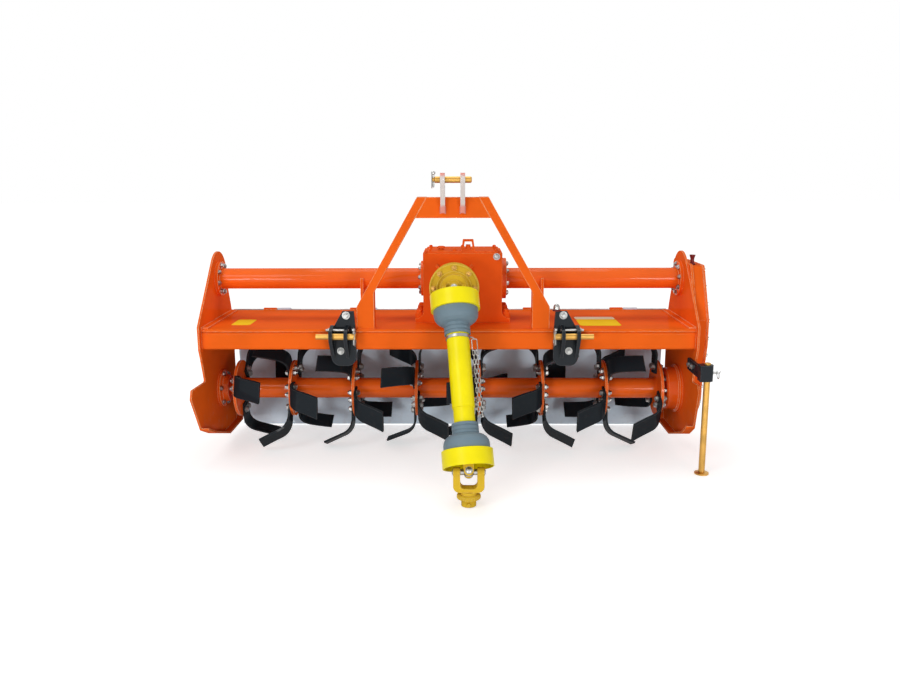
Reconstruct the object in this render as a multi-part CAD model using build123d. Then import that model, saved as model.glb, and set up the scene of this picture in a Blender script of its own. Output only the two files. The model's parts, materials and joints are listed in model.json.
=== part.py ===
"""Rotary tiller for a tractor three-point linkage, modelled as separate named pieces.

Millimetres. X runs across the machine, +X to the gear case side. +Y points to the rear, Z is up.
"""
import math
import os

from build123d import *

# Overall frame
origin_x = 19.0
origin_y = 21.931
plate_left_inner = -1022.0
plate_right_inner = 978.0
plate_thickness = 8.0
plate_front = -25.0
lobe_left = -165.0
lobe_right = -75.0
lobe_radius = 118.0
skid_z = 58.0
skid_top = 176.0
skid_width = 30.0
strip_width = 28.0
strip_thickness = 6.0

# Gear case
gear_case_depth = 60.0
case_flange = 10.0
case_cover = 8.0
case_top_rise = 73.0
case_low_radius = 128.0
cap_radius = 104.0
cap_depth = 22.0
plug_radius = 8.0
plug_head_radius = 13.0
plug_height = 42.0

# Deck and front beam
deck_depth = 484.0
deck_thickness = 5.0
deck_top = 572.0
deck_bend = 7.0
lip_height = 11.0
beam_height = 74.0
beam_depth = 80.0
beam_wall = 8.0
beam_corner = 12.0
barrel_pitch = 400.0
barrel_length = 60.0
barrel_count = 5
barrel_gap = 5.0

# Main tube and gearbox
tube_y = 297.0
tube_z = 742.0
tube_radius = 44.5
tube_wall = 6.0
tube_flange_radius = 74.0
tube_flange = 14.0
gearbox_x0 = -126.0
gearbox_x1 = 204.0
gearbox_y0 = 150.0
gearbox_y1 = 395.0
gearbox_top = 872.0
gearbox_wall = 14.0
gearbox_lid = 8.0
gearbox_foot = 18.0
foot_spread = 34.0
input_x = 5.0
input_z = 740.0
nose_length = 58.0
nose_radius = 72.0
clutch_radius = 100.0
clutch_front = -15.0
clutch_back = 45.0
spring_count = 8
spring_radius = 11.0

# Rotor
rotor_x = -24.0
rotor_y = 245.0
rotor_z = 264.0
rotor_tube_radius = 44.0
rotor_tube_wall = 8.0
flange_pitch = 270.0
flange_end_pitch = 237.0
flange_radius = 122.0
flange_thickness = 12.0
first_phase = 68.0
flange_phase = 15.0
stub_radius = 30.0

# Blades
blade_thickness = 8.0
blade_bend = 66.0
blade_turn = 67.0
blade_reach = 138.0
blade_root = 66.0
root_half = 34.0
wing_radius = 238.0
wing_lead = 18.0
wing_trail = 104.0

# Mast and hitch
mast_front = 5.0
mast_depth = 60.0
mast_top = 1098.0
mast_top_half = 141.0
mast_foot_half = 388.0
mast_knee = 92.0
leg_width = 38.0
foot_width = 70.0
bar_height = 82.0
bar_thickness = 16.0
lug_gap = 60.0
lug_thickness = 18.0
top_pin_rise = 67.0
top_pin_ahead = 43.0
top_pin_radius = 12.5
hitch_pin_radius = 11.0
hitch_tube_radius = 13.0
hitch_pin_ahead = 52.0
hitch_pin_z = 552.0
hitch_width = 100.0
hitch_left_inner = -392.0
hitch_right_inner = 404.0
hitch_bottom = 424.0
hitch_top = 648.0
clamp_thickness = 14.0
cheek = 14.0
cheek_inset = 26.0
nose_round = 32.0
pin_out = 54.0
pin_in = 6.0

# Driveline
joint_ahead = 80.0
lower_joint_x = 60.0
lower_joint_y = -430.0
yoke_clearance = 1.0
ear_inner = 31.0
ear_outer = 45.0
yoke_ear_outer = 57.0
ear_half_width = 18.0
fork_reach = 58.0
fork_bridge = 14.0
cross_radius = 11.0
guard_ring_radius = 95.0
guard_wall = 4.0
ring_start = 15.0
ring_end = 78.0
bell_wide = 86.0
bell_narrow = 50.0
bell_skirt = 20.0
bell_dome = 60.0
bell_length = 100.0
guard_tube_radius = 43.0
guard_tube_wall = 3.0
guard_overlap = 240.0
guard_open = 58.0
slide_gap = 0.3
pin_fit = 0.05
shaft_hub = 26.0
profile_radius = 24.0
profile_bore = 18.0
yoke_bore_radius = 17.5
yoke_bore_depth = 61.0
yoke_length = 127.0
yoke_hub_radius = 27.5
collar_radius = 42.0

# Safety chain
wire = 4.0
link_inner = 22.0
link_width = 14.0
link_count = 14
strand_near = 58.0
strand_far = 75.0
band_offset = 6.0
band_width = 12.0
band_thickness = 4.0

# Tailboard and stand
hinge_behind = 16.0
hinge_drop = 3.0
hinge_rod_radius = 6.0
hinge_barrel_radius = 11.0
sheet_thickness = 2.5
sheet_bend = 24.0
crease_z = 52.0
crease_behind = 49.0
lip_behind = 41.0
lip_z = 6.0
stand_x = 1000.0
stand_y = -104.0
stand_radius = 12.5
stand_foot_radius = 28.5
stand_foot = 6.0
stand_top = 458.0
sleeve_bottom = 385.0
sleeve_top = 450.0
sleeve_radius = 22.0

parts = {}


def along_x(x, y, z):
    """Place whose own Z axis points along X."""
    return Plane((x, y, z), x_dir=(0, 1, 0), z_dir=(1, 0, 0)).location


def along_y(x, y, z):
    """Place whose own Z axis points along Y."""
    return Plane((x, y, z), x_dir=(1, 0, 0), z_dir=(0, 1, 0)).location


def block(x0, x1, y0, y1, z0, z1):
    """Axis-aligned box between two corners."""
    size = Box(x1 - x0, y1 - y0, z1 - z0)
    return Pos((x0 + x1) / 2, (y0 + y1) / 2, (z0 + z1) / 2) * size


def round_z(z0, z1, x, y, radius):
    """Upright cylinder."""
    body = Cylinder(radius, z1 - z0, align=(Align.CENTER, Align.CENTER, Align.MIN))
    return Pos(x, y, z0) * body


def round_x(x0, x1, y, z, radius):
    """Cylinder along X."""
    return along_x(x0, y, z) * round_z(0, x1 - x0, 0, 0, radius)


def round_y(y0, y1, x, z, radius):
    """Cylinder along Y."""
    return along_y(x, y0, z) * round_z(0, y1 - y0, 0, 0, radius)


def plate_x(sketch, x0, x1):
    """Plate cut from a sketch whose first axis is Y and second axis is Z."""
    return extrude(along_x(x0, 0, 0) * sketch, amount=x1 - x0)


def plate_y(sketch, y0, y1):
    """Plate cut from a sketch whose first axis is X and second axis is Z."""
    flat = Plane((0, y1, 0), x_dir=(1, 0, 0), z_dir=(0, -1, 0)) * sketch
    return extrude(flat, amount=y1 - y0)


def outline(*points):
    """Closed polygon sketch through the given points."""
    return make_face(Polyline(*points, close=True))


def area(u0, u1, v0, v1):
    """Rectangular sketch between two corners."""
    return Pos((u0 + u1) / 2, (v0 + v1) / 2) * Rectangle(u1 - u0, v1 - v0)


def disc(u, v, radius):
    """Round sketch at a place."""
    return Pos(u, v) * Circle(radius)


def hull(*sketches):
    """Sketch stretched round several others."""
    edges = []
    for sketch in sketches:
        edges.extend(sketch.edges())
    return make_hull(edges)


def turned(*profile):
    """Solid turned about Z from points given as radius and height."""
    return revolve(Plane.XZ * outline(*profile), Axis.Z, 360)


def ring_of(shape, count, start=0.0):
    """Copies of a shape spaced evenly round Z."""
    return [Rot(0, 0, start + 360.0 / count * index) * shape for index in range(count)]


# Deck sheet folded over the front beam
deck_x0 = plate_left_inner
deck_x1 = plate_right_inner
deck_bottom = deck_top - deck_thickness
beam_top = deck_top - lip_height
hinge_y = deck_depth + hinge_behind
hinge_z = deck_top - hinge_drop
deck_mid = (deck_x0 + deck_x1) / 2
deck_fold = outline(
    (0, beam_top),
    (0, deck_top),
    (deck_depth, deck_top),
    (deck_depth, deck_bottom),
    (deck_thickness, deck_bottom),
    (deck_thickness, beam_top),
)
deck_corner = deck_fold.vertices().sort_by_distance((0, deck_top, 0))[0]
deck = plate_x(fillet(deck_corner, deck_bend), deck_x0, deck_x1)


def barrel_centres():
    """Places of the hinge barrels along the rear edge."""
    first = deck_mid - barrel_pitch * (barrel_count - 1) / 2
    return [first + barrel_pitch * i for i in range(barrel_count)]


for centre in barrel_centres():
    deck = deck + round_x(centre - barrel_length, centre, hinge_y, hinge_z, hinge_barrel_radius)
    deck = deck + block(centre - barrel_length, centre, deck_depth - 1, hinge_y, deck_bottom, deck_top)
deck = deck - round_x(deck_x0, deck_x1, hinge_y, hinge_z, hinge_rod_radius + pin_fit)
parts["deck_plate"] = deck

beam_bottom = beam_top - beam_height
beam_section = Pos(beam_depth / 2, beam_top - beam_height / 2) * (
    RectangleRounded(beam_depth, beam_height, beam_corner)
    - RectangleRounded(beam_depth - 2 * beam_wall, beam_height - 2 * beam_wall, beam_corner - beam_wall)
)
parts["front_beam"] = plate_x(beam_section, deck_x0, deck_x1)

# Side plates with a skid flange along the lower rim and a strip on the deck
plate_rear = deck_depth - 12


def side_outline(lobe):
    """Side plate in side view: lobe on the main tube, notched front edge, skid that reaches forward."""
    shell = outline(
        (tube_y - 80, tube_z + 87),
        (plate_front, deck_top + 12),
        (plate_front, deck_top - 82),
        (-8, 446),
        (24, 348),
        (lobe + 16, 356),
        (lobe, 322),
        (lobe * 0.4, 166),
        (40, 120),
        (rotor_y - 15, skid_z),
        (plate_rear - 30, skid_z),
        (plate_rear, skid_z + 60),
        (plate_rear, deck_top - 32),
        (plate_rear - 22, deck_top + 38),
        (tube_y + 113, tube_z - 33),
    )
    shell = fillet(shell.vertices(), 9)
    return shell + disc(tube_y, tube_z, lobe_radius)


def side_plate(outer, inner, inward, lobe):
    """Side plate between two X places; inward is +1 or -1 towards the rotor."""
    face = side_outline(lobe)
    rim = face - offset(face, -plate_thickness)
    rim = rim & area(lobe - 50, plate_rear + 50, 0, skid_top)
    body = plate_x(face, min(outer, inner), max(outer, inner))
    edge = inner + inward * skid_width
    body = body + plate_x(rim, min(inner, edge), max(inner, edge))
    edge = inner + inward * strip_width
    strip = area(deck_bend, plate_rear - 12, deck_top, deck_top + strip_thickness)
    return body + plate_x(strip, min(inner, edge), max(inner, edge))


left_x0 = plate_left_inner - plate_thickness
right_x1 = plate_right_inner + plate_thickness
parts["left_side_plate"] = side_plate(left_x0, plate_left_inner, 1, lobe_left)
parts["right_side_plate"] = side_plate(right_x1, plate_right_inner, -1, lobe_right)

# Gear case: flange on the right plate, drafted body, raised cover and a bearing cap low down
case_x1 = right_x1 + gear_case_depth
case_top = tube_z + case_top_rise


def case_outline():
    """Gear case in side view, flat on top and round at the rotor."""
    shell = outline(
        (tube_y - 130, case_top),
        (58, deck_top + 28),
        (58, deck_top - 82),
        (rotor_y - case_low_radius, rotor_z),
        (rotor_y + case_low_radius, rotor_z),
        (tube_y + 143, tube_z - 40),
        (tube_y + 143, case_top),
    )
    return fillet(shell.vertices(), 22) + disc(rotor_y, rotor_z, case_low_radius)


case_face = case_outline()
cover_x = case_x1 - case_cover
gear_case = plate_x(case_face, right_x1, right_x1 + case_flange)
gear_case = gear_case + plate_x(offset(case_face, -9), right_x1, cover_x)
gear_case = gear_case + plate_x(offset(case_face, -4), cover_x, case_x1)
low_cap = turned(
    (0, -1),
    (cap_radius, -1),
    (cap_radius, cap_depth * 0.45),
    (cap_radius * 0.62, cap_depth),
    (0, cap_depth),
)
gear_case = gear_case + along_x(case_x1, rotor_y, rotor_z) * low_cap
parts["gear_case"] = gear_case
plug = turned(
    (0, 0),
    (plug_radius + 5, 0),
    (plug_radius + 5, 6),
    (plug_radius, 8),
    (plug_radius, plug_height * 0.62),
    (plug_head_radius, plug_height),
    (plug_radius * 0.6, plug_height * 0.86),
    (0, plug_height * 0.86),
)
parts["gear_case_plug"] = Pos(right_x1 + 26, tube_y - 62, case_top - 9) * plug

# Main tubes with a flange at each end
left_flange_radius = tube_flange_radius + 2
right_flange_radius = tube_flange_radius + 14
right_flange = 22.0


def tube_piece(x0, x1, left, left_radius, right, right_radius):
    """Hollow tube between two round flanges of the given thickness and radius."""
    body = round_x(x0, x1, tube_y, tube_z, tube_radius)
    body = body + round_x(x0, x0 + left, tube_y, tube_z, left_radius)
    body = body + round_x(x1 - right, x1, tube_y, tube_z, right_radius)
    return body - round_x(x0, x1, tube_y, tube_z, tube_radius - tube_wall)


parts["left_tube"] = tube_piece(
    plate_left_inner, gearbox_x0, tube_flange, tube_flange_radius, tube_flange, left_flange_radius
)
parts["right_tube"] = tube_piece(
    gearbox_x1, plate_right_inner, right_flange, right_flange_radius, tube_flange, tube_flange_radius
)

# Gearbox casting, open below, with a spread foot, a lid and a ribbed nose
body_top = gearbox_top - gearbox_lid
foot_top = deck_top + gearbox_foot
casting_view = area(gearbox_x0, gearbox_x1, deck_top, body_top)
casting_view = casting_view + area(gearbox_x0 - foot_spread, gearbox_x1 + foot_spread, deck_top, foot_top)
waist = casting_view.vertices().filter_by_position(Axis.Y, foot_top - 0.1, foot_top + 0.1)
waist = waist.filter_by_position(Axis.X, gearbox_x0 - 0.1, gearbox_x1 + 0.1)
casting_view = fillet(waist, foot_spread - 2)


def rounded_box(x0, x1, y0, y1, z0, z1, radius):
    """Upright block with rounded corners in plan."""
    plan = Pos((x0 + x1) / 2, (y0 + y1) / 2) * RectangleRounded(x1 - x0, y1 - y0, radius)
    return Pos(0, 0, z0) * extrude(plan, amount=z1 - z0)


housing = plate_y(casting_view, gearbox_y0, gearbox_y1)
housing = housing + rounded_box(
    gearbox_x0 + 10,
    gearbox_x1 - 10,
    gearbox_y0 + 10,
    gearbox_y1 - 10,
    body_top - 1,
    gearbox_top,
    18,
)
nose_front = gearbox_y0 - nose_length
nose = turned(
    (0, 0),
    (nose_radius, 0),
    (nose_radius, nose_length - 16),
    (nose_radius + 12, nose_length - 10),
    (nose_radius + 12, nose_length + 1),
    (0, nose_length + 1),
)
rib_view = outline(
    (nose_radius - 2, 14),
    (nose_radius - 2, nose_length + 1),
    (nose_radius + 34, nose_length + 1),
    (nose_radius + 34, nose_length - 4),
)
rib = extrude(Plane((0, -5, 0), x_dir=(1, 0, 0), z_dir=(0, -1, 0)) * rib_view, amount=-10)
for part in ring_of(rib, 4, 45.0):
    nose = nose + part
housing = housing + along_y(input_x, nose_front, input_z) * nose
housing = housing - rounded_box(
    gearbox_x0 + gearbox_wall,
    gearbox_x1 - gearbox_wall,
    gearbox_y0 + gearbox_wall,
    gearbox_y1 - gearbox_wall,
    deck_top,
    gearbox_top - gearbox_wall,
    18,
)
parts["gearbox_housing"] = housing
breather = turned((0, 0), (11, 0), (11, 5), (17, 5), (17, 11), (13, 14), (0, 14))
parts["gearbox_breather"] = Pos(-52, gearbox_y0 + 100, gearbox_top) * breather

# Filler neck between two ears joined by a bar
filler_x = 62.0
filler_y = gearbox_y0 + 30
filler_view = outline((-29, 0), (29, 0), (22, 48), (-22, 48))
filler_view = filler_view - outline((-19, 8), (19, 8), (14, 39), (-14, 39))
filler = Pos(filler_x, 0, gearbox_top) * plate_y(filler_view, filler_y - 12, filler_y + 12)
filler = filler + round_z(gearbox_top + 7, gearbox_top + 26, filler_x, filler_y, 10)
parts["gearbox_filler"] = filler

# Input bearing cap and slip clutch
cap_length = 22.0
cap_step = nose_front - cap_length
cap = turned(
    (0, 0),
    (30, 0),
    (30, cap_step - clutch_back),
    (50, cap_step - clutch_back),
    (58, cap_step - clutch_back + 8),
    (58, nose_front - clutch_back),
    (0, nose_front - clutch_back),
)
parts["input_bearing_cap"] = along_y(input_x, clutch_back, input_z) * cap
clutch_length = clutch_back - clutch_front
clutch = turned(
    (0, 0),
    (56, 0),
    (56, 8),
    (clutch_radius, 12),
    (clutch_radius, 20),
    (clutch_radius - 12, 22),
    (clutch_radius - 12, 30),
    (clutch_radius - 6, 30),
    (clutch_radius - 6, 36),
    (clutch_radius - 12, 36),
    (clutch_radius - 12, clutch_length - 14),
    (clutch_radius - 2, clutch_length - 12),
    (clutch_radius - 2, clutch_length),
    (0, clutch_length),
)
spring_cup = round_z(0, 14, clutch_radius - 18, 0, spring_radius)
for part in ring_of(spring_cup, spring_count):
    clutch = clutch + part
parts["clutch_disc"] = along_y(input_x, clutch_front, input_z) * clutch

# Mast of two bars bent at the knee, with a plate between their upper ends
mast_back = mast_front + mast_depth
bar_bottom = mast_top - bar_height
knee_z = deck_top + mast_knee
lean = (mast_foot_half - mast_top_half) / (mast_top - knee_z)
inner_top = mast_top_half - leg_width
foot_inner = mast_foot_half - foot_width
inner_knee_z = mast_top - (foot_inner - inner_top) / lean


def mast_leg(side):
    """Leg from the deck to the top of the mast; side is -1 or +1."""
    sketch = outline(
        (side * mast_top_half, mast_top),
        (side * mast_foot_half, knee_z),
        (side * mast_foot_half, deck_top),
        (side * foot_inner, deck_top),
        (side * foot_inner, inner_knee_z),
        (side * inner_top, mast_top),
    )
    return plate_y(sketch, mast_front, mast_back)


parts["mast_leg_left"] = mast_leg(-1)
parts["mast_leg_right"] = mast_leg(1)
inner_bar = inner_top + lean * bar_height
top_bar = outline(
    (-inner_bar, bar_bottom),
    (inner_bar, bar_bottom),
    (inner_top, mast_top),
    (-inner_top, mast_top),
)
parts["mast_top_bar"] = plate_y(top_bar, mast_front, mast_front + bar_thickness)

# Top link lugs and pin
top_pin_y = mast_front - top_pin_ahead
top_pin_z = mast_top + top_pin_rise
lug_root = area(mast_front - 12, mast_front, bar_bottom + 20, mast_top - 4)
lug_view = hull(disc(top_pin_y, top_pin_z, 26), lug_root)
lug_view = lug_view - area(mast_front, mast_front + 60, bar_bottom, top_pin_z + 60)
lug_view = lug_view - disc(top_pin_y, top_pin_z, top_pin_radius + pin_fit)
lug_out = lug_gap / 2 + lug_thickness
lugs = plate_x(lug_view, -lug_out, -lug_gap / 2) + plate_x(lug_view, lug_gap / 2, lug_out)
parts["top_link_lugs"] = lugs
top_pin_length = 152.0
top_pin = turned(
    (0, 0),
    (9, 0),
    (9, 8),
    (top_pin_radius, 10),
    (top_pin_radius, top_pin_length - 4),
    (top_pin_radius - 4, top_pin_length),
    (0, top_pin_length),
)
parts["top_link_pin"] = along_x(-lug_out - 30, top_pin_y, top_pin_z) * top_pin

# Lower hitch brackets: clamp plate on the front beam with two cheeks that carry the pin
hitch_pin_y = -hitch_pin_ahead


def hitch_bracket(inner, side):
    """Bracket whose inner edge is at the given X place; side is -1 or +1 away from the middle."""
    outer = inner + side * hitch_width
    low = area(min(inner, outer), max(inner, outer), hitch_bottom, hitch_pin_z + 14)
    low = fillet(low.vertices().sort_by(Axis.Y)[0:2], 36)
    high = outline(
        (inner, hitch_pin_z + 13),
        (outer, hitch_pin_z + 13),
        (inner + side * 0.52 * hitch_width, hitch_top),
        (inner + side * 0.06 * hitch_width, hitch_top),
    )
    body = plate_y(low + high, -clamp_thickness, 0)
    root = area(-clamp_thickness - 6, -clamp_thickness, hitch_bottom + 34, hitch_pin_z + 40)
    view = hull(disc(hitch_pin_y, hitch_pin_z, nose_round), root)
    view = view - disc(hitch_pin_y, hitch_pin_z, hitch_tube_radius + pin_fit)
    for edge in (inner + side * cheek_inset, outer - side * cheek):
        body = body + plate_x(view, min(edge, edge + side * cheek), max(edge, edge + side * cheek))
    return body


parts["hitch_bracket_left"] = hitch_bracket(hitch_left_inner, -1)
parts["hitch_bracket_right"] = hitch_bracket(hitch_right_inner, 1)


def hitch_pin(inner, side):
    """Cross tube through both cheeks with the thinner link pin standing out to one side."""
    outer = inner + side * hitch_width
    near = inner - side * pin_in
    tip = outer + side * pin_out
    body = round_x(min(near, outer), max(near, outer), hitch_pin_y, hitch_pin_z, hitch_tube_radius)
    return body + round_x(min(outer, tip), max(outer, tip), hitch_pin_y, hitch_pin_z, hitch_pin_radius)


parts["hitch_pin_left"] = hitch_pin(hitch_left_inner, -1)
parts["hitch_pin_right"] = hitch_pin(hitch_right_inner, 1)

# Gussets between deck and main tube, hollowed at their edges
gusset_thickness = 12.0
gusset_left_x = -393.0
gusset_right_x = 380.0


def gusset(x):
    """Upright plate that cradles the main tube."""
    rise = tube_z - deck_top
    view = outline(
        (tube_y - 84, deck_top),
        (tube_y + 84, deck_top),
        (tube_y + 58, tube_z + 6),
        (tube_y - 58, tube_z + 6),
    )
    view = view - disc(tube_y - 0.83 * rise, deck_top + 0.55 * rise, 0.45 * rise)
    view = view - disc(tube_y + 0.83 * rise, deck_top + 0.55 * rise, 0.45 * rise)
    view = view - disc(tube_y, tube_z, tube_radius + slide_gap)
    return plate_x(view, x - gusset_thickness / 2, x + gusset_thickness / 2)


parts["gusset_left"] = gusset(gusset_left_x)
parts["gusset_right"] = gusset(gusset_right_x)

# Rotor bearings
bearing_left = 42.0
bearing_right = 62.0
bearing_floor = 8.0
bore = stub_radius + pin_fit
left_housing = turned(
    (0, 0),
    (80, 0),
    (80, 12),
    (60, 18),
    (56, bearing_left),
    (bore, bearing_left),
    (bore, bearing_floor),
    (0, bearing_floor),
)
parts["bearing_housing_left"] = along_x(plate_left_inner, rotor_y, rotor_z) * left_housing
right_housing = turned(
    (0, 0),
    (104, 0),
    (104, 12),
    (94, 16),
    (90, bearing_right - 8),
    (82, bearing_right),
    (bore, bearing_right),
    (bore, bearing_floor),
    (0, bearing_floor),
)
right_place = Plane((plate_right_inner, rotor_y, rotor_z), x_dir=(0, 1, 0), z_dir=(-1, 0, 0)).location
parts["bearing_housing_right"] = right_place * right_housing

# Rotor tube with flanges and stub shafts
end_offset = 2.5 * flange_pitch + flange_end_pitch
flange_offsets = [flange_pitch / 2 * k for k in range(-5, 6, 2)]
flange_offsets = [-end_offset] + flange_offsets + [end_offset]
tube_over = 18.0
tube_half = end_offset + tube_over
tube_bore = rotor_tube_radius - rotor_tube_wall
plug_length = 30.0
rotor_tube = turned(
    (tube_bore, -tube_half),
    (rotor_tube_radius, -tube_half),
    (rotor_tube_radius, tube_half),
    (tube_bore, tube_half),
)
for offset_x in flange_offsets:
    rotor_tube = rotor_tube + turned(
        (rotor_tube_radius - 1, offset_x - flange_thickness / 2),
        (flange_radius, offset_x - flange_thickness / 2),
        (flange_radius, offset_x + flange_thickness / 2),
        (rotor_tube_radius - 1, offset_x + flange_thickness / 2),
    )
stub_left = plate_left_inner + bearing_floor + 4 - rotor_x
stub_right = plate_right_inner - bearing_floor - 4 - rotor_x
for side, stub_end in ((-1, stub_left), (1, stub_right)):
    inside = side * (tube_half - plug_length)
    outside = side * tube_half
    rotor_tube = rotor_tube + turned(
        (0, inside),
        (tube_bore + 1, inside),
        (tube_bore + 1, outside),
        (stub_radius, outside),
        (stub_radius, stub_end),
        (0, stub_end),
    )
parts["rotor_tube"] = along_x(rotor_x, rotor_y, rotor_z) * rotor_tube

# Blades: flat bar bolted beside its flange, bent outwards in an arc and cut to a sickle in side view
blade_seat = flange_thickness / 2 + 0.2


def blade_section():
    """Bent bar in the plane of rotor axis and radius, with the flange at the left."""
    middle = blade_seat + blade_thickness / 2
    slope = math.radians(90 - blade_turn)
    turn = math.radians(blade_turn)
    wing = (blade_reach - middle - blade_bend * (1 - math.cos(turn))) / math.cos(slope)
    bend_start = wing_radius - blade_bend * math.sin(turn) - wing * math.sin(slope)
    leg = Line((middle, blade_root), (middle, bend_start))
    curve = JernArc((middle, bend_start), (0, 1), blade_bend, -blade_turn)
    tip = curve @ 1 + Vector(math.cos(slope), math.sin(slope)) * wing
    return trace(leg + curve + Line(curve @ 1, tip), blade_thickness)


def blade_sickle():
    """Side view of a blade: straight root, swept leading and trailing edges, square tip."""
    top = wing_radius + blade_thickness
    foot = blade_root - blade_thickness
    lead = ThreePointArc((root_half, foot), (26, 170), (-wing_lead, top))
    tip = Line((-wing_lead, top), (-wing_trail, top))
    trail = ThreePointArc((-wing_trail, top), (-52, 160), (-root_half, foot))
    root = Line((-root_half, foot), (root_half, foot))
    return make_face(lead + tip + trail + root)


def blade_blank(side):
    """One blade beside a flange at X = 0, rotor axis at the origin, leg along +Z; side is -1 or +1."""
    reach = 2 * wing_trail
    bar = Plane((0, side * reach, 0), x_dir=(side, 0, 0), z_dir=(0, -side, 0)) * blade_section()
    bar = extrude(bar, amount=2 * reach)
    return bar & plate_x(blade_sickle(), -blade_reach - 20, blade_reach + 20)


right_blank = blade_blank(1)
left_blank = blade_blank(-1)


def placed_blade(blank, x, angle):
    """Blade turned about the rotor axis and moved to its flange."""
    return Pos(x, rotor_y, rotor_z) * Rot(angle, 0, 0) * blank


right_blades = []
left_blades = []
last_flange = len(flange_offsets) - 1
for index, offset_x in enumerate(flange_offsets):
    x = rotor_x + offset_x
    phase = first_phase + flange_phase * index
    for third in range(3):
        if index < last_flange:
            right_blades.append(placed_blade(right_blank, x, phase + 120 * third))
        if index > 0:
            left_blades.append(placed_blade(left_blank, x, phase + 60 + 120 * third))
parts["blades_right"] = Compound(children=right_blades)
parts["blades_left"] = Compound(children=left_blades)

# Tailboard sheet with a creased lower edge, hung on the hinge rod
parts["hinge_rod"] = round_x(deck_x0, deck_x1, hinge_y, hinge_z, hinge_rod_radius)
board_gap = 6.0
board_x0 = plate_left_inner + board_gap
board_x1 = plate_right_inner - board_gap
board_path = FilletPolyline(
    (hinge_y + hinge_barrel_radius - sheet_thickness / 2, hinge_z - 4),
    (hinge_y + crease_behind, crease_z),
    (hinge_y + lip_behind, lip_z),
    radius=sheet_bend,
)
board = plate_x(trace(board_path, sheet_thickness), board_x0, board_x1)
for centre in barrel_centres():
    gap_x0 = centre - barrel_length - barrel_gap
    board = board - round_x(gap_x0, centre + barrel_gap, hinge_y, hinge_z, hinge_barrel_radius + barrel_gap)
for centre in barrel_centres():
    own_x0 = centre + barrel_gap
    board = board + round_x(own_x0, own_x0 + barrel_length, hinge_y, hinge_z, hinge_barrel_radius)
parts["tailboard"] = board - round_x(board_x0, board_x1, hinge_y, hinge_z, hinge_rod_radius + pin_fit)

# Parking stand: sleeve on an arm beside the right side plate, leg with a foot disc
arm_thickness = 10.0
arm_rear = 70.0
arm_inset = 8.0
arm_x0 = plate_right_inner - arm_thickness
sleeve_front = stand_y - sleeve_radius
sleeve_side = area(arm_x0, plate_right_inner, sleeve_front, stand_y + sleeve_radius)
sleeve_plan = hull(disc(stand_x, stand_y, sleeve_radius), sleeve_side)
sleeve = Pos(0, 0, sleeve_bottom) * extrude(sleeve_plan, amount=sleeve_top - sleeve_bottom)
arm_view = area(sleeve_front + 2, arm_rear, sleeve_bottom + arm_inset, sleeve_top - arm_inset)
arm_view = fillet(arm_view.vertices().sort_by(Axis.X)[2:4], 12)
sleeve = sleeve + plate_x(arm_view, arm_x0, plate_right_inner)
parts["stand_bracket"] = sleeve - round_z(sleeve_bottom, sleeve_top, stand_x, stand_y, stand_radius + 0.1)
leg = turned(
    (0, 0),
    (stand_foot_radius, 0),
    (stand_foot_radius, stand_foot),
    (stand_radius, stand_foot + 3),
    (stand_radius, stand_top - 3),
    (stand_radius - 3, stand_top),
    (0, stand_top),
)
parts["stand_leg"] = Pos(stand_x, stand_y, 0) * leg

# Driveline frames: upper joint on the clutch, lower joint over the yoke that rests on the ground
upper_joint = Vector(input_x, clutch_front - joint_ahead, input_z)
lower_joint = Vector(lower_joint_x, lower_joint_y, yoke_length + yoke_clearance)
shaft_vector = lower_joint - upper_joint
shaft_length = shaft_vector.length
shaft_dir = shaft_vector.normalized()
across = Vector(1, 0, 0)
swing_axis = shaft_dir.cross(across).normalized()
shaft_side = swing_axis.cross(shaft_dir).normalized()
shaft_frame = Plane(upper_joint, x_dir=shaft_side, z_dir=shaft_dir).location
cross_dir = across.cross(swing_axis)
upper_cross_frame = Plane(upper_joint, x_dir=across, z_dir=cross_dir).location
lower_cross_frame = Plane(lower_joint, x_dir=across, z_dir=cross_dir).location


def fork(outer, hub_radius, hub_end):
    """Yoke with its joint at the origin, pin along X, hub along +Z."""
    back = fork_reach + fork_bridge
    front_view = area(-outer, outer, -ear_half_width, back)
    front_view = fillet(front_view.vertices().sort_by(Axis.Y)[2:4], 24)
    throat = area(-ear_inner, ear_inner, -2 * ear_half_width, fork_reach)
    front_view = front_view - fillet(throat.vertices().sort_by(Axis.Y)[2:4], 16)
    side_view = hull(Circle(ear_half_width), area(-22, 22, back - 4, back))
    side_view = side_view - Circle(cross_radius + pin_fit)
    body = plate_y(front_view, -30, 30) & plate_x(side_view, -outer, outer)
    return body + round_z(back - 1, hub_end, 0, 0, hub_radius)


def cross_piece(reach):
    """Cross of a universal joint: four journals on a turned body."""
    body = turned((0, -15), (13, -15), (20, -8), (20, 8), (13, 15), (0, 15))
    body = body + round_x(-reach, reach, 0, 0, cross_radius)
    return body + round_y(-ear_outer, ear_outer, 0, 0, cross_radius)


implement_frame = Plane(upper_joint, x_dir=(1, 0, 0), z_dir=(0, 1, 0)).location
parts["implement_yoke"] = implement_frame * fork(ear_outer, 36, joint_ahead)
parts["upper_cross"] = upper_cross_frame * cross_piece(ear_outer)
parts["lower_cross"] = lower_cross_frame * cross_piece(yoke_ear_outer)

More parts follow.
